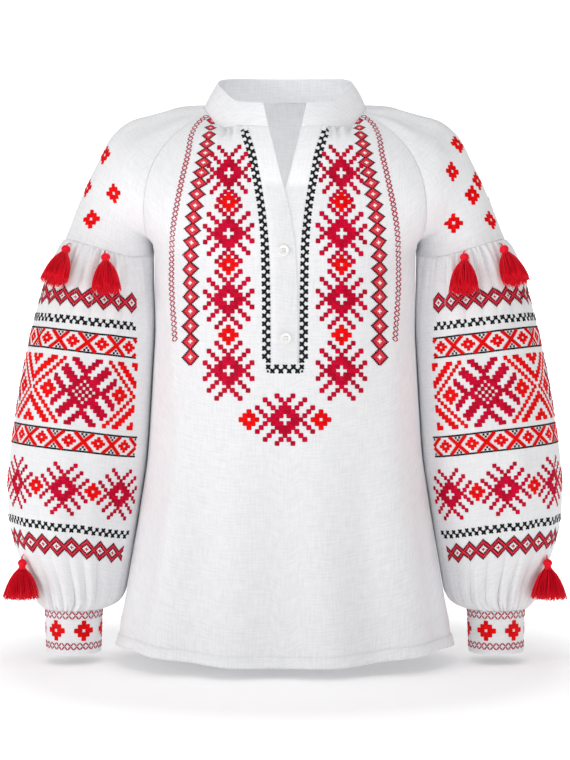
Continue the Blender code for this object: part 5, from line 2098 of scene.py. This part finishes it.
@dataclass
class Cuff:
    """A narrow stiffened cuff with its chains and diamonds."""

    side: float
    columns: int = 120
    spacing: float = 3.4
    cell: float = 4.4
    chains: tuple[tuple[float, float, float], ...] = ((-577.8, 9.0, 7.3), (-612.8, 8.4, 7.0))
    diamonds_z: float = -595.2
    diamond_pitch: float = 31.0
    diamond_x: float = 226.4                # where a diamond lies in front

    def grid(self) -> Grid:
        """The cuff's surface on the +X side."""
        share = np.linspace(0.0, 1.0, self.columns + 1)
        rows = np.array([ring.points(share) for ring in CUFF_RINGS])
        at = row_steps(rows, self.spacing, (0.1, 0.3, len(rows) - 1.04))
        grid = Grid(through(rows, at), closed=True, centre=self.columns // 2)
        down = grid.flat[..., 1]
        depth = seam_dip(down, 0.5, 1.2) + 0.25 * np.sin(5.0 * math.tau * share[None] + self.side)
        grid.push(depth)
        return grid

    def embroider(self, work: Needlework) -> None:
        """Works the two open chains and the row of diamonds."""
        for z, tall, pitch in self.chains:
            line = self.ring_at(z)
            arc = arc_lengths(line)
            count = round(arc[-1] / pitch)
            up = Vector((0.0, 0.0, tall / 2.0))
            for number in range(count):
                start, middle, end = (place_at(line, arc, arc[-1] * (number + part) / count)
                                      for part in (0.0, 0.5, 1.0))
                work.open_diamond(start, (middle + up, middle - up), end)
        line = self.ring_at(self.diamonds_z)
        arc = arc_lengths(line)
        front = slice(self.columns // 15, self.columns // 2)
        anchor = float(np.interp(self.diamond_x, line[front, 0], arc[front]))
        count = round(arc[-1] / self.diamond_pitch)
        for number in range(count):
            at = (anchor + arc[-1] * number / count) % arc[-1]
            work.small_diamond(place_at(line, arc, at), self.cell)

    def ring_at(self, z: float) -> np.ndarray:
        """The ring of the cuff at a height."""
        ring = CUFF_RINGS[2]
        points = ring.points(np.linspace(0.0, 1.0, self.columns + 1))
        points[:, 2] += z - (ring.outer_z + ring.inner_z) / 2.0
        return points


# ---- buttons ----------------------------------------------------------------------
@dataclass
class Button:
    """A round four-hole button with a raised rim, sewn on with white thread."""

    node: str
    sides: int = 56
    hole: float = 0.85
    hole_ring: float = 1.75
    thread_size: tuple[float, float, float] = (3.6, 0.55, 0.5)
    profile: tuple[tuple[float, float], ...] = (
        (0.0, 1.3), (3.4, 1.3), (3.9, 1.38), (4.25, 1.7), (4.6, 2.1), (5.0, 2.25), (5.45, 2.2),
        (5.85, 1.9), (6.08, 1.4), (6.1, 0.9), (5.95, 0.45), (5.6, 0.15), (0.0, 0.0),
    )

    def build(self, repeater: Repeater) -> list[bpy.types.Object]:
        """Turns the body, cuts its holes and sews it on."""
        low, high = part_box(self.node)
        middle = (Vector(low) + Vector(high)) / 2.0
        seat = Vector((middle.x, high[1], middle.z))
        body = self.turned(seat)
        cutter = self.cutter(seat)
        cut = body.modifiers.new("holes", "BOOLEAN")
        cut.operation, cut.object, cut.solver = "DIFFERENCE", cutter, "EXACT"
        made = bake_modifiers(body)
        bpy.data.objects.remove(cutter)
        made.polygons.foreach_set("use_smooth", [True] * len(made.polygons))
        made.set_sharp_from_angle(angle=math.radians(38.0))
        made.materials.clear()
        made.materials.append(Store.get(ButtonResin()))
        spots = []
        for x in (-self.hole_ring * 0.72, self.hole_ring * 0.72):
            for shift in (-0.28, 0.28):
                place = seat / MM + Vector((x + shift, -1.25, 0.0))
                spots.append(Spot(place, Vector((0.0, 0.0, 1.0)), Vector((0.0, -1.0, 0.0)),
                                  self.thread_size))
        thread = repeater.build(f"{self.node}_thread", Unit.BAR, Thread.WHITE.value, spots, 0.03)
        settle(body, self.node)
        settle(thread)
        return [body, thread]

    def turned(self, seat: Vector) -> bpy.types.Object:
        """The button's body as a turned solid facing -Y."""
        work = bmesh.new()
        rings = []
        for radius, height in self.profile:
            count = self.sides if radius else 1
            rings.append([work.verts.new(seat + Vector((
                radius * math.cos(math.tau * k / self.sides), -height,
                radius * math.sin(math.tau * k / self.sides))) * MM) for k in range(count)])
        for inner, outer in zip(rings, rings[1:]):
            for k in range(self.sides):
                corners = []
                for spot in (inner[k % len(inner)], outer[k % len(outer)],
                             outer[(k + 1) % len(outer)], inner[(k + 1) % len(inner)]):
                    if spot not in corners:
                        corners.append(spot)
                work.faces.new(corners)
        bmesh.ops.recalc_face_normals(work, faces=work.faces)
        return finished(work, f"{self.node}_resin")

    def cutter(self, seat: Vector) -> bpy.types.Object:
        """Four pins where the holes go."""
        work = bmesh.new()
        for turn in range(4):
            angle = math.tau * (turn + 0.5) / 4
            middle = seat + Vector((math.cos(angle), 0.0, math.sin(angle))) * self.hole_ring * MM
            place = Matrix.Translation(middle) @ Matrix.Rotation(math.pi / 2, 4, "X")
            bmesh.ops.create_cone(work, cap_ends=True, segments=14, radius1=self.hole * MM,
                                  radius2=self.hole * MM, depth=8.0 * MM, matrix=place)
        return finished(work, f"{self.node}_pins")


# ---- tassels ----------------------------------------------------------------------
def puff_place(turn: float, z: float, off: float) -> tuple[Vector, Vector]:
    """A place off the gathered sleeve on the +X side, and the way out of the cloth there.

    Args:
        turn: Degrees round the sleeve, from its inner side over the front.
        z: The height.
        off: How far off the cloth.

    Returns:
        The place and the way.
    """
    share = np.array([turn / 360.0])
    places = [Vector(ring.points(share)[0]) for ring in PUFF_RINGS]
    upper, lower = next(pair for pair in zip(places, places[1:]) if pair[1].z <= z)
    along = (upper.z - z) / (upper.z - lower.z)
    angle = math.radians(turn)
    out = Vector((-math.cos(angle), -math.sin(angle), 0.0))
    return upper.lerp(lower, along) + out * off, out


GOLDEN_ANGLE = math.radians(137.508)


@dataclass
class Tassel:
    """A silk tassel: a twisted loop, a bound head and a full skirt of strands."""

    side: float
    spec: TasselPlace
    strands: int = 300
    root: float = 4.9
    flatness: float = 0.56
    head_sides: int = 72
    head: tuple[tuple[float, float], ...] = (
        (3.0, 0.5), (3.6, 1.5), (4.4, 3.0), (5.4, 4.1), (6.6, 4.8), (7.9, 5.15), (9.2, 5.0),
        (10.2, 4.4), (10.9, 3.75), (11.4, 3.3), (12.6, 3.3), (13.3, 3.9), (14.6, 4.9),
        (15.8, 5.5), (16.8, 5.4), (17.2, 4.4),
    )
    ripple: float = 0.055
    wraps: int = 5
    wrap_from: float = 10.9
    wrap_pitch: float = 0.5
    wrap_radius: float = 3.55
    wrap_thick: float = 0.36
    wrap_sides: int = 28
    cord_thick: float = 0.55
    cord_sides: int = 6
    skirt_from: float = 14.6

    @property
    def name(self) -> str:
        """The tassel's node."""
        return f"tassel_{'left' if self.side > 0 else 'right'}_{self.spec.name}"

    def axes(self) -> tuple[Vector, Vector, Vector, Vector]:
        """The tassel's top and its ways down, across and out, in mm."""
        mirror = Vector((self.side, 1.0, 1.0))
        top, _ = puff_place(self.spec.turn, self.spec.z, self.spec.off)
        end, _ = puff_place(self.spec.end_turn, self.spec.end_z, self.spec.end_off)
        _, face = puff_place(self.spec.face, self.spec.end_z, 0.0)
        down = ((end - top) * mirror).normalized()
        face = face * mirror
        face = (face - down * face.dot(down)).normalized()
        return top * mirror, down, down.cross(face), face

    def build(self, repeater: Repeater) -> list[bpy.types.Object]:
        """The head, its binding and loop, and the skirt."""
        top, down, across, face = self.axes()
        head = self.lathe(top, down, across, face)
        deep = self.root + (self.spec.width - self.root) * self.flatness
        spots = []
        for number in range(self.strands):
            reach = math.sqrt((number + 0.5) / self.strands)
            turn = number * GOLDEN_ANGLE
            uneven = 1.0 + 0.05 * math.sin(number * 2.1) + 0.02 * math.sin(number * 0.7)
            length = self.spec.length * (1.0 - 0.05 * reach) * uneven
            aside, front = across * math.cos(turn), face * math.sin(turn)
            start = top + down * self.skirt_from + (aside + front) * (reach * self.root * 0.86)
            tip = (top + down * (self.skirt_from + 1.1 + length)
                   + aside * reach * (self.spec.width - 0.6) + front * reach * deep)
            way = start - tip
            spots.append(Spot(start, aside + front, way, (way.length,) * 3))
        skirt = repeater.build(f"{self.name}_skirt", Unit.STRAND, Thread.TASSEL.value, spots,
                               0.3, 0.015)
        settle(head, self.name)
        settle(skirt)
        return [head, skirt]

    def lathe(self, top: Vector, down: Vector, across: Vector, face: Vector) -> bpy.types.Object:
        """The head's round body with its lengthwise threads, its binding and its loop.

        Args:
            top: The tassel's top, mm.
            down: The way down its middle.
            across: The way to its side.
            face: The way out of its face.

        Returns:
            The new piece.
        """
        work = bmesh.new()
        uv = work.loops.layers.uv.new("thread")
        rings = [circle(work, top + down * distance, across, face, radius, self.head_sides,
                        self.ripple) for distance, radius in self.head]
        skin(work, uv, rings, 0.35)
        turns = [math.tau * k / self.wrap_sides for k in range(self.wrap_sides)]
        ways = [across * math.cos(turn) + face * math.sin(turn) for turn in turns]
        for number in range(self.wraps):
            centre = top + down * (self.wrap_from + number * self.wrap_pitch)
            rings = [circle(work, centre + way * self.wrap_radius, way, down, self.wrap_thick,
                            self.cord_sides) for way in ways]
            skin(work, uv, rings + rings[:1], 1 / self.cord_sides, ends=False)
        loop = [top + down * 4.2 - face * 0.4, top + down * 1.6 + across * 0.9,
                top - down * 0.4 - face * 0.8, top - down * 2.6 - face * 3.4]
        for way in (-1.0, 1.0):
            self.cord(work, uv, [place + across * (way * 0.55 * math.sin(1.1 + k))
                                 for k, place in enumerate(loop)])
        bmesh.ops.recalc_face_normals(work, faces=work.faces)
        for item in work.faces:
            item.smooth = True
        head = finished(work, f"{self.name}_head")
        tones = [0.5 + 0.25 * math.sin(k * 1.7) for k in range(len(head.data.vertices))]
        head.data.attributes.new("tone", "FLOAT", "POINT").data.foreach_set("value", tones)
        head.data.materials.append(Store.get(Thread.TASSEL.value))
        return head

    def cord(self, work: bmesh.types.BMesh, uv: object, places: Sequence[Vector]) -> None:
        """A thin cord through places.

        Args:
            work: The mesh.
            uv: Its UV layer.
            places: The places, mm.
        """
        points = through(np.array([tuple(place) for place in places])[:, None],
                         np.linspace(0, len(places) - 1, 10))[:, 0]
        points = [Vector(point) for point in points]
        rings = []
        for k, point in enumerate(points):
            way = (points[min(k + 1, len(points) - 1)] - points[max(k - 1, 0)]).normalized()
            side = way.orthogonal().normalized()
            rings.append(circle(work, point, side, way.cross(side), self.cord_thick,
                                self.cord_sides))
        skin(work, uv, rings, 1 / self.cord_sides)


# ---- the whole blouse -------------------------------------------------------------
class Blouse:
    """All the pieces of the blouse, built in order."""

    def __init__(self) -> None:
        """Starts with no panels and no cloth of the body."""
        self.repeater = Repeater()
        self.panels: list[Panel] = []
        self.body: list[Cloth] = []

    def sew(self, node: str, cut: Cut, work: Needlework, slot: Slot = Slot.LINEN,
            mirrored: bool = False, hem_from: float | None = None) -> None:
        """Dresses a panel, puts its stitches on it and keeps it.

        Args:
            node: The panel's node.
            cut: Its sheet.
            work: Its needlework, on its cloth.
            slot: Its finish.
            mirrored: Whether the cloth was made for the wearer's other side.
            hem_from: The lowest height above which it has one layer, if it has a hem.
        """
        grid = work.cloth.grid
        panel = Panel(node, cut, slot)
        panel.dress(grid.mirror() if mirrored else grid, hem_from)
        if mirrored:
            work.mirror()
        panel.pieces = work.build(self.repeater, slot)
        self.panels.append(panel)
        LOG.info("%s: %d cells of cloth, %d stitch pieces", node, len(grid.faces()),
                 len(panel.pieces))

    def hemmed(self, work: Needlework, at: np.ndarray, hem_from: float) -> None:
        """Stitches the hem of the front or back, and sews the panel.

        Args:
            work: Its needlework.
            at: The row numbers of its cloth.
            hem_from: The lowest height above which the cloth has one layer.
        """
        grid = work.cloth.grid
        row = int(np.argmin(np.abs(at - HEM_STITCH_ROW)))
        work.topstitch(grid.points[row], grid.outward()[row])
        self.sew(f"{work.panel}_panel", CUTS[work.panel], work, hem_from=hem_from)
        self.body.append(work.cloth)

    def front(self) -> None:
        """The front panel with its embroidery and hem stitches."""
        front = Front()
        work = Needlework("front", Cloth(front.grid()))
        front.embroider(work)
        self.hemmed(work, front.at, FRONT_HEM_FROM)

    def back(self) -> None:
        """The back panel with its hem stitches."""
        back = Back()
        work = Needlework("back", Cloth(back.grid()))
        self.hemmed(work, back.at, BACK_HEM_FROM)

    def placket(self) -> None:
        """The two bands of the placket with their edge stitches."""
        for node, over, column in (("placket_over", True, -3), ("placket_under", False, 2)):
            grid = PlacketBand(over).grid()
            work = Needlework(node, Cloth(grid))
            work.topstitch(grid.points[4:, column], grid.outward()[4:, column])
            self.sew(node, CUTS[node], work)

    def collar(self) -> None:
        """The collar with its edge stitches."""
        grid = Collar().grid()
        work = Needlework("collar", Cloth(grid))
        out = grid.outward()
        for row in (3, -4):
            work.topstitch(grid.points[row, 3:-3], out[row, 3:-3])
        self.sew("collar", CUTS["collar"], work)

    def sleeve(self, side: float) -> None:
        """One sleeve: head, gathered sleeve, cuff and tassels."""
        name = "left" if side > 0 else "right"
        body = Neighbour(self.body, side)
        for base, part, slot in (("sleeve_upper", SleeveHead(side, body), Slot.LINEN),
                                 ("sleeve_lower", PuffSleeve(side, body), Slot.SLEEVE),
                                 ("cuff", Cuff(side), Slot.SLEEVE)):
            work = Needlework(f"{base}_{name}", Cloth(part.grid()))
            part.embroider(work)
            self.sew(work.panel, CUTS[base], work, slot, mirrored=side < 0)
        for spec in TASSELS:
            pieces = Tassel(side, spec).build(self.repeater)
            LOG.info("tassel %s %s: %d pieces", name, spec.name, len(pieces))

    def buttons(self) -> None:
        """The two buttons of the placket."""
        for node in ("button_1", "button_2"):
            pieces = Button(node).build(self.repeater)
            LOG.info("%s: %d pieces", node, len(pieces))

    def build(self) -> None:
        self.front()
        self.back()
        self.placket()
        self.collar()
        for side in (1.0, -1.0):
            self.sleeve(side)
        self.buttons()
        for panel in self.panels:
            panel.declare()


# ---- the studio -------------------------------------------------------------------
class Lamp(NamedTuple):
    """A square soft lamp: its place, what it is turned to, its width and its power."""

    name: str
    place: tuple[float, float, float]
    target: tuple[float, float, float]
    size: float
    power: float


LAMPS = (
    Lamp("key", (-2.0, -1.55, 0.1), (0.0, 0.0, -0.3), 0.8, 13.5),
    Lamp("fill", (0.8, -2.1, -0.5), (0.0, 0.0, -0.35), 1.0, 5.6),
    Lamp("top", (0.0, -0.2, 1.6), (0.0, 0.0, -0.3), 1.2, 4.0),
    Lamp("neck", (0.0, -0.75, 0.4), (0.0, 0.0, 0.0), 0.35, 1.2),
    Lamp("inside", (0.0, -0.098, -0.13), (0.0, 0.08, -0.02), 0.04, 0.105),
)


@dataclass
class Studio:
    """A pale floor, soft lights and the camera."""

    camera_distance: float = 1.9
    camera_height: float = -0.313
    lens: float = 78.25
    floor_height: float = -0.634
    paper: str = "#F7F7F8"
    paper_cloud: str = "#FAFAFA"
    paper_half_width: float = 2.0
    paper_end: float = 2.6      # the floor reaches this far in front and behind, then turns up
    sweep: float = 0.9
    wall_height: float = 2.2
    sky: float = 0.415

    def build(self) -> None:
        """Makes the camera, the floor with its backdrop, and the lights."""
        self.camera()
        self.backdrop()
        self.lights()

    def camera(self) -> None:
        """The camera: level, straight in front."""
        data = bpy.data.cameras.new("camera")
        data.lens = self.lens
        camera = new_object("camera", data)
        camera.location = (0.0, -self.camera_distance, self.camera_height)
        camera.rotation_euler = (math.pi / 2, 0.0, 0.0)
        bpy.context.scene.camera = camera

    def backdrop(self) -> None:
        """Paper that runs from the floor up behind the blouse in one sweep, and glows: painted
        light, weak near the blouse and stronger away from it.
        """
        profile = [(-self.paper_end, 0.0), (self.paper_end, 0.0)]
        for step in range(1, 13):
            turn = math.pi / 2 * step / 12
            profile.append((self.paper_end + self.sweep * math.sin(turn),
                            self.sweep * (1.0 - math.cos(turn))))
        profile.append((self.paper_end + self.sweep, self.wall_height))
        work = bmesh.new()
        rows = [[work.verts.new((x, y, self.floor_height + z))
                 for x in (-self.paper_half_width, self.paper_half_width)] for y, z in profile]
        for near, far in zip(rows, rows[1:]):
            work.faces.new((near[0], near[1], far[1], far[0])).smooth = True
        paper = finished(work, "studio_paper")
        material, tree, shader = new_material("matt studio paper")
        place = add_node(tree, "ShaderNodeTexCoord").outputs["Object"]
        grain = add_node(tree, "ShaderNodeTexNoise", {"Vector": place, "Scale": 3.0})
        away = add_node(tree, "ShaderNodeVectorMath",
                        {0: place, 1: (0.0, 0.0, self.floor_height)}, operation="DISTANCE")
        plug(tree, shader, {
            "Base Color": blend(tree, grain.outputs["Fac"], self.paper, self.paper_cloud),
            "Roughness": 0.95, "Specular IOR Level": 0.1, "Emission Color": (1.0, 1.0, 1.0, 1.0),
            # painted light: the paper glows, 0.25 within 0.3 m of the floor's middle under the
            # blouse, up to 0.9 beyond 0.6 m
            "Emission Strength": add_node(tree, "ShaderNodeMapRange",
                                          {"Value": away.outputs["Value"], "From Min": 0.3,
                                           "From Max": 0.6, "To Min": 0.25, "To Max": 0.9}),
        })
        paper.data.materials.append(material)

    def lights(self) -> None:
        """Even light from all round, with a broad soft one above and in front."""
        world = bpy.data.worlds.new("studio")
        world.use_nodes = True
        plug(world.node_tree, world.node_tree.nodes["Background"],
             {"Color": (1.0, 1.0, 1.0, 1.0), "Strength": self.sky})
        bpy.context.scene.world = world
        for spec in LAMPS:
            data = bpy.data.lights.new(spec.name, "AREA")
            data.size, data.energy = spec.size, spec.power
            lamp = new_object(spec.name, data)
            lamp.location = spec.place
            aim = Vector(spec.target) - Vector(spec.place)
            lamp.rotation_euler = aim.to_track_quat("-Z", "Y").to_euler()
        bpy.context.scene.view_settings.view_transform = "Standard"


def main() -> None:
    """Builds the blouse and its studio."""
    logging.basicConfig(level=logging.INFO, format="%(name)s: %(message)s")
    Blouse().build()
    Studio().build()


if __name__ == "__main__":
    main()
